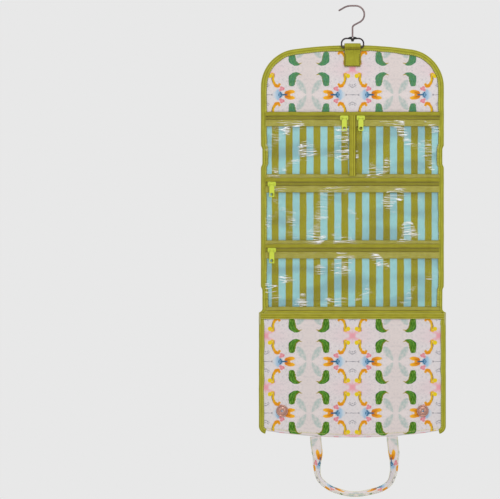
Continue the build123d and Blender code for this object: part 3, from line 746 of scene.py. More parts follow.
def arch_top(x, inset):
    """Height of the top edge: the arch's circle, and past its touching point the shoulder's, both less the
    inset."""
    touch = SHOULDER_X * (ARCH_R - inset) / (ARCH_R - SHOULDER_R)
    arch = ARCH_Z + np.sqrt((ARCH_R - inset) ** 2 - x**2)
    reach = np.clip((SHOULDER_R - inset) ** 2 - (np.abs(x) - SHOULDER_X) ** 2, 0, None)
    return np.where(np.abs(x) <= touch, arch, SHOULDER_Z + np.sqrt(reach))


def cover_foot(x, inset):
    """Height of the cover's free edge: a circle of 845 mm that bows downwards, with 12 mm corners."""
    low, radius, corner_r = -0.6468, 0.845, 0.012
    arc = low + radius - np.sqrt((radius - inset) ** 2 - x**2)
    edge = COVER_HALF - inset
    round_x = edge - (corner_r - inset)
    depth = low + radius - np.sqrt((radius - inset) ** 2 - round_x**2) + (corner_r - inset)
    past = np.clip(np.abs(x) - round_x, 0, corner_r - inset)
    corner_z = depth - np.sqrt(np.clip((corner_r - inset) ** 2 - past**2, 0, None))
    return np.where(np.abs(x) <= round_x, arc, corner_z)


def half_width(z):
    """Half the strip's width: 137.5 mm, 140.5 on the cover, and 2.2 less at the folds."""
    return HALF + (COVER_HALF - HALF) * step(-z, 0.4574, 0.4588) - 0.0022 * pinch(z)


middle = np.zeros(1)
print("arch at", arch_top(middle, 0).round(4), "m and cover's foot at", cover_foot(middle, 0).round(4), "m")


# %% Long panels
def panel(name, top, foot, inset, y, thick, finish, slot, bulge=0.0, lean=0.0, origin=0.0, seed=1,
          columns=120, **ride):
    """A panel of cloth with a row of points each 2.2 mm from its top edge to its foot, which are heights or
    functions of x and inset. Its face is at y, less a bulge times wrinkles that die out at the edges, less
    a lean times the tilt at the folds. origin is the height where its print starts."""
    spacing = np.pi / 2 * 0.97  # points crowd together towards the two sides
    s = np.sin(np.linspace(-1, 1, columns + 1) * spacing) / np.sin(spacing)
    high = (lambda x: top(x, inset)) if callable(top) else (lambda x: np.full_like(x, top))
    low = (lambda x: foot(x, inset)) if callable(foot) else (lambda x: np.full_like(x, foot))
    span = float(high(np.zeros(1))[0] - low(np.zeros(1))[0])
    rows = max(6, int(span / 0.0022))
    side = COVER_HALF if callable(foot) else HALF
    t = np.linspace(1, 0, rows + 1)[:, None]
    x = s[None] * (side - inset) * np.ones_like(t)
    z = low(x) + (high(x) - low(x)) * t
    x = s[None] * (half_width(z) - inset)
    edge = step(1 - np.abs(s[None]), 0, 0.12)
    face = y - bulge * edge * (0.45 + 0.55 * wrinkles(x, z, seed, turn=(20, 160))) - lean * edge * tilt(z)
    front = spread(x, face, z)
    back = spread(x, y + thick, z)
    chart = spread(x, z - origin)
    put(name, [shell(front, back, chart)], [finish], slot, flat=(2 * (side - inset), span), **ride)


# %% Canvas and lining
SECTIONS = [("upper", "top", arch_top, MID_TOP), ("back", "middle", MID_TOP, MID_BACK),
            ("base", "lower", MID_BACK, MID_BASE), ("cover", "foot", MID_BASE, cover_foot)]
SHELLS = {"upper": ["upper_shell"], "back": ["top_spine_shell", "back_shell"], "base": ["base_shell"],
          "cover": ["cover_shell"]}
LININGS = {"upper": ["upper_stripe_lining"], "back": ["top_spine_lining", "back_lining"],
           "base": ["base_lining"], "cover": ["cover_lining"]}
STRIPE_TOP = -0.1580
for part, crossing, top, foot in SECTIONS:
    panel(f"outer_canvas_{part}", top, foot, 0.001 if part == "cover" else 0.003, y=0.0061, thick=0.0007,
          origin=-0.30, finish=PRINT, slot="printed_canvas", between=CROSSINGS[crossing], stands=SHELLS[part],
          rests_on=[f"{part}_stiffener"])
for seed, (part, crossing, top, foot) in enumerate(SECTIONS, 3):
    inset, bulge, lean = (0.002, 0.0, 0.0) if part == "cover" else (0.004, 0.0003, 0.0012)
    panel(f"lining_{part}", STRIPE_TOP if part == "upper" else top, foot, inset, y=0.0043, thick=0.0004,
          bulge=bulge, lean=lean, seed=seed, finish=STRIPES, slot="striped_lining",
          between=CROSSINGS[crossing], stands=LININGS[part], rests_on=[f"{part}_stiffener"])
panel("top_print_panel", arch_top, -0.1600, inset=0.003, y=0.0040, thick=0.0003, bulge=0.0003, origin=-0.1319,
      seed=7, finish=TOP_PRINT, slot="printed_canvas", body="upper_part", stands=["upper_print_lining"],
      rests_on=["upper_stiffener"])
panel("slip_pocket_panel", -0.4600, cover_foot, inset=0.0012, y=0.0033, thick=0.0005, bulge=0.0006,
      origin=-0.5325, seed=8, columns=140, finish=PRINT, slot="printed_canvas", body="front_cover",
      stands=["slip_pocket"], rests_on=["lining_cover"])
print(2 * len(SECTIONS) + 2, "panels")

# %% [markdown]
# ## Thread
# A row of stitches is what tells the eye that a ribbon is sewn on and not printed. Each stitch is one small
# pointed bead lying along the seam, four rings of six points with both ends closed, so a row of two hundred
# costs little. All stitches of a seam are worked out at once by broadcasting one bead over the seam's
# points.


# %% Stitches
def seam(path, out, pitch=0.0032, length=0.0024, thick=0.00032, finish=1):
    """Beads along a path, one each pitch: centre + along cos t + (side cos a + out sin a) sin t, over the
    ring angle t and the turn a. out is the way the cloth faces at each path point."""
    gone = distances(path)
    at = np.arange(pitch / 2, gone[-1], pitch)
    centre = found(path, gone, at)
    ahead = found(path, gone, at + 1e-4) - found(path, gone, at - 1e-4)
    ahead /= np.linalg.norm(ahead, axis=1, keepdims=True)
    up = found(out, gone, at)
    up /= np.linalg.norm(up, axis=1, keepdims=True)
    side = np.cross(ahead, up)
    t = np.radians([22, 62, 118, 158])[None, :, None, None]
    a = (np.arange(6) * TAU / 6)[None, None, :, None]
    c, f, u, w = (v[:, None, None, :] for v in (centre, ahead, up, side))
    points = c + f * (length / 2) * np.cos(t) + (w * np.cos(a) + u * np.sin(a)) * thick * np.sin(t)
    base = np.arange(len(at))[:, None, None] * 24
    faces = (grid_faces(4, 6, True)[None] + base).reshape(-1, 4)
    ends = (np.array([[5, 4, 3, 2, 1, 0], [18, 19, 20, 21, 22, 23]])[None] + base).reshape(-1, 6)
    return closed(points, [faces, ends], None, finish)


# %% [markdown]
# ## The folded binding
# A binding is a ribbon folded over the raw edge: seen end on it is a flattened C. Its outline is drawn
# once, as an outer line of fifteen points and an inner one, and carried along the bag's edge, with each
# point's distance from the edge laid along the inward direction. A slow ripple keeps it from looking
# extruded, and it draws in where the bag folds.

# %% Binding section
OUTER_LINE = np.array([(9.0, 3.75), (8.9, 3.3), (8.0, 3.0), (6.2, 2.8), (4.4, 2.75), (2.6, 2.95), (1.1, 3.5),
                       (0.25, 4.4), (0, 5.5), (0.25, 6.6), (1.1, 7.3), (2.6, 7.65), (4.4, 7.8), (6.2, 7.85),
                       (8.0, 7.8), (8.9, 7.6), (9.0, 7.2)]) * MM
INNER_LINE = np.array([(8.9, 3.85), (8.8, 3.9), (8.0, 3.95), (6.2, 3.95), (4.4, 3.95), (3.0, 4.0), (2.2, 4.3),
                       (1.6, 4.9), (1.4, 5.5), (1.6, 6.2), (2.2, 6.8), (3.0, 7.0), (4.4, 7.0), (6.2, 7.0),
                       (8.0, 7.0), (8.8, 7.05), (8.9, 7.1)]) * MM


# %% Binding along a path
def binding(name, path, inward, seed, wide=1.0, lift=0.0, **ride):
    """The C carried along a path in x and z: each point is the edge + inward times its depth, at its own
    y."""
    gone = distances(path)
    ripple = wrinkles(gone, path[:, 1], seed, 12, (0.02, 0.09))[:, None]
    tight = pinch(path[:, 1])[:, None]
    gather = 0.00028 * np.sin(gone[:, None] * TAU / 0.0062) * tight

    def carried(line):
        depth = line[None, :, 0] * (wide + 0.05 * ripple) + 0.0001 * ripple
        out = line[None, :, 1] - 0.0055
        y = 0.0055 + out * (1 + 0.05 * ripple + 0.10 * tight) + gather * np.sign(out) - lift * (out < -0.001)
        flat = path[:, None, :] + inward[:, None, :] * depth[..., None]
        return spread(flat[..., 0], y, flat[..., 1])

    front, back = carried(OUTER_LINE), carried(INNER_LINE)
    across = distances(OUTER_LINE)
    chart = spread(gone[:, None], across[None])
    seams = []
    for column, way in ((2, -1), (-3, 1)):
        line = front[:, column] + [0, way * 0.00008, 0]
        seams.append(seam(line, same([0.0, way, 0.0], line), finish=1))
    put(name, [shell(front, back, chart), *seams], [BINDING, THREAD], "green_binding", **ride)


def outline_path():
    """The upper part's edge from left to right: up the side, round a shoulder, along the arch, and down
    again."""
    left = np.pi - np.arctan2(-ARCH_Z + SHOULDER_Z, SHOULDER_X)
    z = np.linspace(MID_TOP, SHOULDER_Z, 70)
    rise = spread(-half_width(z), z)
    turn = np.linspace(np.pi, left, 60)[1:]
    shoulder = spread(-SHOULDER_X + SHOULDER_R * np.cos(turn), SHOULDER_Z + SHOULDER_R * np.sin(turn))
    turn = np.linspace(left, np.pi / 2, 60)[1:]
    arch = spread(ARCH_R * np.cos(turn), ARCH_Z + ARCH_R * np.sin(turn))
    half = np.concatenate([rise, shoulder, arch])
    return np.concatenate([half, half[-2::-1] * [-1, 1]])


def inward_of(path):
    """The unit direction to the right of the way the path runs, smooth over each bend."""
    way = headings(path)
    return spread(way[:, 1], -way[:, 0])


# %% Bindings along every edge
upper_edge = outline_path()
binding("binding_upper", upper_edge, inward_of(upper_edge), 11, between=CROSSINGS["top"],
        stands=["upper_binding"])
COVER_CUT = -0.478  # the cover's binding is a straight piece down to here, and one that turns its corner
CORNER_Z, CORNER_R = -0.6295, 0.012
LENGTHS = [("middle", MID_TOP, MID_BACK, ["top_spine_bindings", "back_bindings"]),
           ("lower", MID_BACK, MID_BASE, ["base_bindings"]), ("foot", MID_BASE, COVER_CUT, [])]
for side, name in ((-1, "left"), (1, "right")):
    for crossing, high, low, stands in LENGTHS:
        z = np.linspace(high, low, int((high - low) / 0.0012))
        path = spread(side * half_width(z), z)
        inward = same([-side, 0.0], z)
        binding(f"binding_{crossing}_{name}", path, inward, 12 + side, between=CROSSINGS[crossing],
                stands=stands if side < 0 else ())
    z = np.linspace(COVER_CUT, CORNER_Z, 120)
    turn = np.radians(np.linspace(0, 78, 26))[1:]
    bend = spread(COVER_HALF - CORNER_R * (1 - np.cos(turn)), CORNER_Z - CORNER_R * np.sin(turn))
    path = np.concatenate([spread(COVER_HALF, z), bend]) * [side, 1]
    inward = inward_of(path) * (1 if side > 0 else -1)
    binding(f"binding_cover_{name}", path, inward, 15 + side, wide=0.88, lift=0.0006, body="front_cover",
            stands=["cover_bindings"] if side < 0 else ())
print("bindings run", round(float(distances(upper_edge)[-1]), 3), "m round the top")

# %% [markdown]
# ## Ribbons across the bag, and the centre divider
# Between the rows a ribbon covers the foot of one pocket and the top of the next zip. Laid flat it would be
# a strip with square edges; real ribbon crowns a little in the middle, dips at its two rows of stitches and
# waves by a fraction of a millimetre, and those three together are what makes it look sewn.


# %% Flat ribbons
def ribbon_part(path, across, out, half, thick, seed, crown=0.0003, wave=0.00025, finish=0, drawn=None):
    """A strip of rounded section along a path: point + across u + out h, u from -half to half and h the
    ribbon's crown, less a dip at each row of stitches. across and out are directions at each path point.
    drawn is the half width of its map, where that differs."""
    u = np.array([-1, -0.985, -0.94, -0.84, -0.76, -0.5, 0, 0.5, 0.76, 0.84, 0.94, 0.985, 1])
    height = crown * (1 - u**2) - 0.00012 * np.exp(-(((np.abs(u) - 0.84) / 0.06) ** 2))
    body = thick * np.sqrt(np.clip(1 - np.abs(u) ** 24, 0.05, 1))
    gone = distances(path)
    ripple = wrinkles(gone, gone * 0.37, seed, 14, (0.012, 0.07))
    place = path[:, None] + across[:, None] * (u * half)[None, :, None]
    place += (out * (wave * ripple)[:, None])[:, None]
    place += across[:, None] * (wave * 0.8 * ripple)[:, None, None]
    front = place + out[:, None] * (height + body / 2)[None, :, None]
    back = place - out[:, None] * (body / 2)[None, :, None]
    chart = spread(gone[:, None], (u * (drawn or half))[None])
    return shell(front, back, chart, finish), front


# %% Ribbons in place
def level_ribbon(name, end, z, half, y, seed, finish, slot, thread, **ride):
    """A ribbon lying across the bag at height z, facing the front, with a row of stitches near each edge.
    Its map is as wide as the widest, so every ribbon's grooves are alike."""
    x = np.linspace(-end, end, int(2 * end / 0.0016))
    path = spread(x, y, z)
    up, ahead = same([0.0, 0, 1], x), same([0.0, -1, 0], x)
    part, front = ribbon_part(path, up, ahead, half, 0.0006, seed, drawn=0.0052)
    seams = [seam(front[:, column] - [0, 0.00005, 0], ahead, finish=1) for column in (3, -4)]
    put(name, [part, *seams], [finish, thread], slot, **ride)


ROW_TOPS = [corner("row_1_band", True)[2], corner("row_2_band")[2] + 0.004, corner("row_3_band")[2] + 0.004]
INSIDE = 0.1305
for name, z, half, y, seed, finish, slot, body, stands in (
        ("ribbon_row_1", -0.1606, 0.0030, 0.0012, 21, BAND, "green_webbing", "upper_part", ["row_1_band"]),
        ("ribbon_row_2", -0.2597, 0.0029, 0.0010, 22, BAND, "green_webbing", "back_part", ["row_2_band"]),
        ("ribbon_row_3", -0.3589, 0.0029, 0.0010, 23, BAND, "green_webbing", "back_part", ["row_3_band"]),
        ("foot_tape_row_1", -0.2551, 0.0039, 0.0023, 27, TAPE, "zip_tape", "back_part", ()),
        ("foot_tape_row_2", -0.3543, 0.0039, 0.0023, 28, TAPE, "zip_tape", "back_part", ()),
        ("foot_tape_row_3", -0.4530, 0.0029, 0.0023, 24, TAPE, "zip_tape", "base_spine",
         ["row_3_foot_band"])):
    level_ribbon(name, INSIDE, z, half, y, seed, finish, slot, TAN_THREAD, body=body, stands=stands)
level_ribbon("ribbon_slip_pocket", 0.1368, -0.4639, 0.0048, 0.0022, 25, BAND, "green_binding", THREAD,
             body="front_cover", stands=["slip_pocket_binding"])
level_ribbon("ribbon_at_fold", 0.1322, FOLDS[3], 0.0062, 0.0032, 29, BAND, "green_binding", TAN_THREAD,
             between=CROSSINGS["foot"])
for name, crossing, high, low, stands in (("divider_upper", "top", -0.1632, MID_TOP, ["centre_divider"]),
                                          ("divider_lower", "middle", MID_TOP, -0.2540, [])):
    z = np.linspace(high, low, int((high - low) / 0.0016))
    path = spread(0.0, 0.0007 + 0.0008 * pinch(z), z)
    ahead = same([0.0, -1, 0], z)
    part, front = ribbon_part(path, same([1.0, 0, 0], z), ahead, 0.00525, 0.0006, 26, wave=0.0001)
    seams = [seam(front[:, column] - [0, 0.00005, 0], ahead) for column in (3, -4)]
    put(name, [part, *seams], [BAND, TAN_THREAD], "green_webbing", between=CROSSINGS[crossing], stands=stands)
print("rows start at", [round(float(z), 4) for z in ROW_TOPS])

# %% [markdown]
# ## Zips
# A nylon zip closes by two coils that mesh, so it is drawn as two helices side by side, half a turn apart.
# A tube of five sides round each is enough at this size. The coils stay closed under the slider, as on the
# real bag when every pocket is shut.


# %% Coils and tapes
def coil_part(left, right, y, z, radius, wire, pitch, phase, hand):
    """A tube round a helix: centre (x, y + r cos a, z + r sin a) with a = hand 2 pi x / pitch + phase, and
    round it five points in the plane of the helix's radius and the axis."""
    count = int((right - left) / pitch * 10)
    x = np.linspace(left, right, count)[:, None]
    a = hand * TAU * x / pitch + phase
    b = (np.arange(5) * TAU / 5)[None]
    reach = radius + wire * np.cos(b)
    return tube(spread(x + wire * 1.25 * np.sin(b), y + reach * np.cos(a), z + reach * np.sin(a)))


def zip_fastener(name, left, right, top, body, seed):
    """Two tapes that meet under the coils, three close rows of brown stitches, and the two coils. The rows
    are
    partly thread and partly painted shade: dark lines where the gaps beside and between the coils lie in
    shade.
    """
    mid = top - 0.0077
    x = np.linspace(left, right, int((right - left) / 0.002))
    ahead, up = same([0.0, -1, 0], x), same([0.0, 0, 1], x)
    tapes = []
    for z, half in ((mid + 0.0035, 0.0032), (mid - 0.0064, 0.0061)):
        path = spread(x, 0.0018, z)
        tapes.append(ribbon_part(path, up, ahead, half, 0.0004, seed, crown=0.0001, wave=0.00012)[0])
    # partly thread, partly painted shade: dark lines beside and between the coils
    rows = [seam(spread(x, 0.00135 if side else 0.0016, mid + side), ahead, 0.0021, 0.0024, 0.00034)
            for side in (-0.0023, 0.0, 0.0023)]
    put(f"{name}_tape_cloth", tapes + rows, [TAPE, BROWN_THREAD], "zip_tape", body=body,
        stands=[f"{name}_tapes"])
    coils = [coil_part(left, right, 0.0017, mid + side * 0.00085, 0.00072, 0.0003, 0.00125, phase, side)
             for side, phase in ((1, 0.0), (-1, np.pi))]
    put(f"{name}_coil_teeth", coils, [COIL], "zip_coil", body=body, stands=[f"{name}_coils"])


# %% Zips in place
SPLIT = 0.0053  # half the width of the divider between the two small pockets
ZIPS = [("1_left", -INSIDE, -SPLIT, ROW_TOPS[0], "upper_part"),
        ("1_right", SPLIT, INSIDE, ROW_TOPS[0], "upper_part"),
        ("2", -INSIDE, INSIDE, ROW_TOPS[1], "back_part"), ("3", -INSIDE, INSIDE, ROW_TOPS[2], "back_part")]
for seed, (row, left, right, top, body) in enumerate(ZIPS, 31):
    zip_fastener(f"zip_{row}", left, right, top, body, seed)
print(len(ZIPS), "zips")

# %% [markdown]
# ## Clear windows
# Each window is one sheet of soft film, caught on all four sides, that has been creased in the packing. Its
# creases are modelled, not painted: plane waves that run mostly across the bag, bent by slower ones, with
# their crests sharpened. At its top the film lies over the zip's lower tape, and where the bag folds it is
# drawn in.


# %% Film sheets
def film(name, left, right, high, low, top_edge, foot_edge, **ride):
    """A film panel: y is its resting face, less a slight belly, less sharpened wrinkles that die at sewn
    edges."""
    x, z = np.meshgrid(np.linspace(left, right, int((right - left) / 0.0011)),
                       np.linspace(high, low, int((high - low) / 0.0011)))
    sides = step(x, left, left + 0.006) * step(-x, -right, -right + 0.006)
    held = sides.copy()
    if top_edge:
        held *= step(-z, -high, -high + 0.005)
    if foot_edge:
        held *= step(z, low, low + 0.005)
    slow = wrinkles(x, z, 900, 10, (0.03, 0.09), (40, 140))
    warp = 0.004 * wrinkles(x, z, 901, 8, (0.03, 0.08))
    fine = wrinkles(x + warp, z + warp, 902, 26, (0.006, 0.022), (78, 102), 0.7)
    patch = step(wrinkles(x, z, 903, 8, (0.04, 0.12)), -0.7, 1.0)
    y = 0.00135 - held * (0.0005 + 0.00045 * slow + (0.0001 + 0.0003 * patch) * fine)
    y += 0.0016 * pinch(z) * sides + 0.0009 * (1 - sides)
    front, back = spread(x, y, z), spread(x, y + 0.0002, z)
    return put(name, [shell(front, back, spread(x, z))], [FILM], "clear_vinyl",
               flat=(right - left, high - low), rests_on=["lining_back"], **ride)


# %% Windows in place
FILM_TOPS = [top - 0.0112 for top in ROW_TOPS]
ROW_1_FOOT = -0.2584
windows = []
for side, left, right in (("left", -INSIDE, -0.004), ("right", 0.004, INSIDE)):
    windows += [film(f"film_1_{side}_upper", left, right, FILM_TOPS[0], MID_TOP, True, False,
                     between=CROSSINGS["top"], stands=[f"window_1_{side}"]),
                film(f"film_1_{side}_lower", left, right, MID_TOP, ROW_1_FOOT, False, True,
                     between=CROSSINGS["middle"])]
windows += [film("film_2", -INSIDE, INSIDE, FILM_TOPS[1], -0.3576, True, True, body="back_part",
                 stands=["window_2"]),
            film("film_3", -INSIDE, INSIDE, FILM_TOPS[2], -0.4558, True, True, between=CROSSINGS["lower"],
                 stands=["window_3"])]
print(len(windows), "film sheets,", sum(len(window.data.polygons) for window in windows), "faces")

# %% [markdown]
# ## The hanging loop
# A short length of webbing goes up the front of the panel, over the ring's bar and down behind itself, and
# rows of stitches round its outline hold both layers. It is a line drawn from the side, thickened, and
# carried across the webbing's width.

# %% Webbing loop
BAR_Z = -0.0610
LOOP_HALF = 0.0122
turn = np.radians(np.linspace(195, -15, 24))
over = spread(0.0022 * np.cos(turn), BAR_Z + 0.0014 + 0.0047 * np.sin(turn))
down_front = np.array([(2.3, -89.6), (2.3, -84), (2.25, -77), (2.1, -71.5), (1.2, -68.4), (-0.5, -65.6),
                       (-1.8, -62.8)]) * MM
down_back = np.array([(2.7, -63.5), (3.2, -67), (3.3, -72), (3.3, -79), (3.3, -84), (3.3, -89.6)]) * MM
side_line = np.concatenate([down_front, over, down_back])
gone = distances(side_line)
side_line = found(side_line, gone, np.linspace(0, gone[-1], 110))
for _ in range(6):
    side_line[1:-1] = (side_line[:-2] + 2 * side_line[1:-1] + side_line[2:]) / 4
loop_path = spread(0.0, side_line[:, 0], side_line[:, 1])
way = headings(side_line)
loop_out = spread(0.0, -way[:, 1], way[:, 0])
loop_part = ribbon_part(loop_path, same([1.0, 0, 0], way), loop_out, LOOP_HALF, 0.0009, 51,
                        crown=0.0001, wave=0.00008)[0]
stitch_ends = [((-10.6, -88.4), (10.6, -88.4)), ((10.6, -88.4), (10.6, -67.6)),
               ((10.6, -64.6), (-10.6, -64.6)), ((-10.6, -67.6), (-10.6, -88.4)),
               ((-11.6, -89.5), (11.6, -89.5))]
loop_seams = []
for (x0, z0), (x1, z1) in stitch_ends:
    y = 1.68 if min(z0, z1) < -66 else -2.1  # the top row is on the part that stands forward
    line = spread(np.linspace(x0, x1, 12), y, np.linspace(z0, z1, 12)) * MM
    loop_seams.append(seam(line, same([0.0, -1, 0], line), 0.0026, 0.0021, 0.0004))
put("hanging_loop", [loop_part, *loop_seams], [WEBBING, BROWN_THREAD], "green_webbing", body="upper_part",
    stands=["hook_loop"], flat=(2 * LOOP_HALF, float(gone[-1])), rests_on=["swivel_ring"])
print("loop webbing is", round(float(gone[-1]) * 1000, 1), "mm long")

# %% [markdown]
# ## Snaps
# Each front snap is a turned cap with a rolled rim, a dished ring and a small hole in its middle, pressed
# into a flower of four petals. Its mate behind is a plain disc with a stud that fits the hole. A lathe
# makes both: one outline of radius and height, swept round, with the petals as a ripple of four waves per
# turn on the middle part.


# %% Turned parts
def turned(centre, line, face, petals=0.0, finish=0, steps=48):
    """A closed ring swept about the y axis through centre: (x + r cos t, y + face h, z + r sin t), with h
    raised by petals cos 4t near the radius of 4 mm."""
    t = (np.arange(steps) * TAU / steps)[:, None]
    r, h = line[None, :, 0] * MM, line[None, :, 1] * MM
    raised = petals * np.cos(4 * t) * np.exp(-(((r - 0.004) / 0.0011) ** 2))
    points = spread(r * np.cos(t), face * (h + raised), r * np.sin(t)) + np.array(centre)
    rows, columns = points.shape[:2]
    index = np.arange(rows * columns).reshape(rows, columns)
    along, around = np.roll(index, -1, 1), np.roll(index, -1, 0)
    faces = spread(index, along, np.roll(along, -1, 0), around).reshape(-1, 4)
    return closed(points, [faces], None, finish)


# %% Snaps in place
SNAP_LINE = np.array([(2.0, 0.1), (2.0, 1.4), (2.3, 1.75), (2.9, 1.9), (4.0, 1.75), (5.4, 1.45), (6.0, 1.2),
                      (6.4, 1.15), (6.8, 1.7), (7.3, 2.25), (7.9, 2.45), (8.5, 2.2), (8.9, 1.5), (9.0, 0.6),
                      (8.9, 0.1)])
STUD_LINE = np.array([(0.1, 0.1), (0.1, 3.1), (1.2, 3.15), (1.65, 2.9), (1.8, 2.3), (1.8, 1.05), (3.0, 0.9),
                      (7.4, 1.1), (8.6, 1.05), (9.0, 0.6), (8.9, 0.1)])
SNAP_X = 0.1055
for node, name, face, line, petals, body in (
        ("snap_sockets", "snap_caps_front", -1, SNAP_LINE, 0.00028, "front_cover"),
        ("snap_studs", "snap_studs_back", 1, STUD_LINE, 0.0, "upper_part")):
    low, high = corner(node), corner(node, True)
    base = high[1] if face < 0 else low[1]
    caps = [turned((side * SNAP_X, base, (low[2] + high[2]) / 2), line, face, petals) for side in (-1, 1)]
    put(name, caps, [ROSE], "snap_metal", body=body, stands=[node])
print("four snaps")

# %% [markdown]
# ## The swivel's cap
# The hook's stem goes down through the top of the ring, where a small black saddle hides the joint, and the
# upset end of the stem hangs below it. A bright metal dot on the saddle's front stands in for a glint, a
# painted highlight. The saddle is a rod that thins towards its ends, the end is an outline spun about the
# stem, and the dot is turned like the snaps.


# %% Swivel cap
def spun(line, steps=28):
    """A closed form spun about the z axis: (r cos t, r sin t, z) for each (r, z) of an outline in
    millimetres."""
    t = (np.arange(steps) * TAU / steps)[None]
    r, z = (line[:, k, None] * MM for k in (0, 1))
    return tube(spread(r * np.cos(t), r * np.sin(t), z))


GLINT_DOT_LINE = np.array([(0.1, 0.3), (0.5, 0.25), (0.85, 0.05), (0.9, -0.4), (0.1, -0.4)])
HEAD_LINE = np.array([(2.4, -48.2), (3.2, -48.8), (2.9, -49.4), (2.2, -50.0), (1.6, -50.2)])
x = np.linspace(-1, 1, 31)[:, None]
t = (np.arange(20) * TAU / 20)[None]
around = np.sqrt(np.clip(1 - np.abs(x) ** 3, 0.09, 1))
cap = spread(0.0067 * x, 0.0033 * around * np.sin(t), -0.0472 + 0.0022 * around * np.cos(t))
# painted highlight: a bright metal dot on the cap's front where a glint shows
glint_dot = turned((0, -0.0033, -0.047), GLINT_DOT_LINE, -1, finish=1)
put("swivel_cap", [tube(cap), spun(HEAD_LINE), glint_dot], [BLACK_METAL, GLINT_DOT_METAL], "hook_steel", body="ring")
print("swivel cap", round(float(np.ptp(cap[..., 0])) * 1000, 1), "mm wide")

# %% [markdown]
# ## Handles
# A handle is a flat strap of the printed canvas, sewn on by both ends. It can't turn in its own plane, so
# it twists: face on at the legs, nearly edge on round the bend. The path is a smooth curve through given
# points, and an angle along it turns the strap's width from the plane of the bag towards the viewer.


# %% Straps
def smooth_path(points, count=170):
    """A Catmull-Rom curve through the points, resampled evenly."""
    p = np.concatenate([[2 * points[0] - points[1]], points, [2 * points[-1] - points[-2]]])
    t = np.linspace(0, 1, 24, endpoint=False)[None, :, None]
    a, b, c, d = p[:-3, None], p[1:-2, None], p[2:-1, None], p[3:, None]
    curve = 0.5 * (2 * b + (c - a) * t + (2 * a - 5 * b + 4 * c - d) * t**2 + (3 * b - a - 3 * c + d) * t**3)
    curve = np.concatenate([curve.reshape(-1, points.shape[1]), points[-1:]])
    gone = distances(curve)
    return found(curve, gone, np.linspace(0, gone[-1], count)), gone[-1]


def strap(name, points, turns, side, seed, half=0.0085, thick=0.0024, **ride):
    """A strap along points (x, y, z) in mm: its width is across cos a + (0, side, 0) sin a, with a from the
    turns, which are pairs of a share of its length and an angle in degrees. Its print is mirrored about its
    middle."""
    path, length = smooth_path(np.array(points) * MM)
    way = headings(path)
    share = np.linspace(0, 1, len(path))
    a = np.radians(np.interp(share, *zip(*turns)))
    for _ in range(14):
        a[1:-1] = (a[:-2] + 2 * a[1:-1] + a[2:]) / 4
    towards = same([0.0, side, 0.0], path)
    across = np.cross(way, towards)
    across /= np.linalg.norm(across, axis=1, keepdims=True)
    width = across * np.cos(a)[:, None] + towards * np.sin(a)[:, None]
    out = np.cross(width, way)
    part, front = ribbon_part(path, width, out, half, thick, seed, crown=0.0004, wave=0.0002)
    part["chart"][:, 0] = PRINT_START[0] + length / 2 - np.abs(part["chart"][:, 0] - length / 2)
    part["chart"][:, 1] += PRINT_START[1]
    rear = front - out[:, None] * (thick + 0.0004)
    seams = [seam(face[:, k] + way_out * 0.00004, way_out, 0.0030, 0.0024, 0.0004)
             for face, way_out in ((front, out), (rear, -out)) for k in (3, -4)]
    put(name, [part, *seams], [HANDLE_PRINT, THREAD], "handle_canvas", flat=(2 * half, float(length)), **ride)
    print(name, "is", round(float(length) * 1000, 1), "mm long")


# %% Handles in place
HANDLE_PRINT = canvas("handle_canvas_print")
PRINT_START = (0.0664, 0.0045)  # where on the printed cloth a handle is cut from
FRONT_HANDLE = [(x, 5.1, z) for x, z in (
    (-55.5, -645.2), (-55, -652), (-52.6, -672), (-53, -692), (-49, -709), (-34, -722), (-13, -729.5),
    (5.5, -731.5), (24, -729), (43, -723.5), (56, -714), (61.5, -700), (62.8, -688), (62.5, -672),
    (60.4, -652), (60, -645.2))]
REAR_HALF = [(-58, 8.4, -240.6), (-58, 8.6, -250), (-57, 9.2, -275), (-53, 10.3, -298), (-42, 11.0, -315),
             (-20, 11.4, -324)]
REAR_HANDLE = [*REAR_HALF, (0, 11.5, -326), *[(-x, y, z) for x, y, z in REAR_HALF[::-1]]]
FRONT_TURNS = [(0, 0), (0.06, 4), (0.15, 46), (0.24, 70), (0.5, 77), (0.74, 70), (0.86, 44), (0.93, 6),
               (1, 0)]
REAR_TURNS = [(0, 0), (0.15, 0), (0.35, 10), (0.5, 12), (0.65, 10), (0.85, 0), (1, 0)]
strap("front_carry_handle", FRONT_HANDLE, FRONT_TURNS, -1, 61, body="front_handle", stands=["front_handle"])
strap("rear_carry_handle", REAR_HANDLE, REAR_TURNS, 1, 62, body="rear_handle", stands=["rear_handle"])

# %% [markdown]
# ## The cover's turned edge
# The free edge isn't bound: the canvas is turned in and sewn, which shows as a thin rounded lip with one
# row of stitches above it, on both faces.

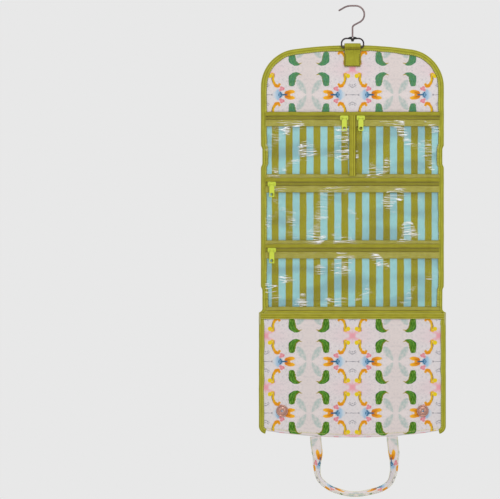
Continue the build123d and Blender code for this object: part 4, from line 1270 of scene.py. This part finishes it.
# %% Lip and stitches
x = np.linspace(-0.1285, 0.1285, 170)
lip = spread(x, 0.0051, cover_foot(x, 0.0012))
section = (np.arange(12) * TAU / 12)[None]
swing = headings(lip)
normal = spread(-swing[:, 2], 0.0, swing[:, 0])
ring = lip[:, None] + normal[:, None] * (0.0011 * np.cos(section))[..., None]
ring = ring + np.array([0, 0.0022, 0]) * np.sin(section)[..., None]
lip_part = tube(ring, spread(x[:, None], section * 0.0018))
hem_seams = []
for y, way_out in ((0.00268, -1), (0.00718, 1)):
    line = spread(x, y, cover_foot(x, 0.0048))
    hem_seams.append(seam(line, same([0.0, way_out, 0.0], x), 0.0034, 0.0026, 0.00034))
put("cover_turned_lip", [lip_part, *hem_seams], [PRINT, THREAD], "printed_canvas", body="front_cover")
print("cover lip and", len(hem_seams), "rows of stitches")

# %% [markdown]
# ## Hardware
# The hook, ring, sliders, pulls and plate are true shapes already, so they keep their own meshes and get a
# finish, and the last three a small bevel. The boards and washers inside get plain finishes. The foam in
# the top spine is a soft thing, so it is made anew as a crowned pad.

# %% Finishes on the frame's own parts
def dress(node, finish, bevel=0.0):
    """Gives a frame part its finish, and a small rounding where its edges are sharp."""
    thing = frame["nodes"][node]
    thing.data.materials.clear()
    thing.data.materials.append(finish)
    if bevel:
        weld = thing.modifiers.new("weld", "WELD")
        weld.merge_threshold = 0.00001
        rounding = thing.modifiers.new("rounding", "BEVEL")
        rounding.width, rounding.segments, rounding.limit_method = bevel, 2, "ANGLE"
        rounding.angle_limit = np.radians(40)
        rounding.harden_normals = True


dress("hanger_hook", GUNMETAL)
dress("swivel_ring", DARK_METAL)
dress("nameplate", GOLD, 0.0002)
for row in ("1_left", "1_right", "2", "3"):
    dress(f"slider_{row}", LIME, 0.00018)
    dress(f"pull_{row}", LIME, 0.00018)
for part in ("upper", "back", "base", "cover"):
    dress(f"{part}_stiffener", BOARD)
for part in ("upper", "cover"):
    dress(f"{part}_snap_washers", WASHER)
print(sum(not thing.hide_render for thing in frame["nodes"].values()), "frame parts keep their own shape")

# %% The spine pad
low, high = corner("top_spine_padding"), corner("top_spine_padding", True)
wide, deep, tall = high - low
u, v = np.linspace(-1, 1, 81)[None], np.linspace(-1, 1, 25)[:, None]
swell = (np.sqrt((1 - u**8).clip(0)) * np.sqrt((1 - v**4).clip(0))) * 0.46 + 0.04
pad_x, pad_z = ((low + high)[k] / 2 + half * size / 2 for k, half, size in ((0, u, wide), (2, v, tall)))
pad_faces = [spread(pad_x, (low + high)[1] / 2 + side * deep * swell, pad_z) for side in (-1, 1)]
pad = put("top_spine_pad", [shell(*pad_faces, spread(pad_x, pad_z))], [FOAM],
          "soft_padding", body="top_spine", stands=["top_spine_padding"])
print("pad", [round(float(size) * 1000, 1) for size in (wide, deep, tall)], "mm")
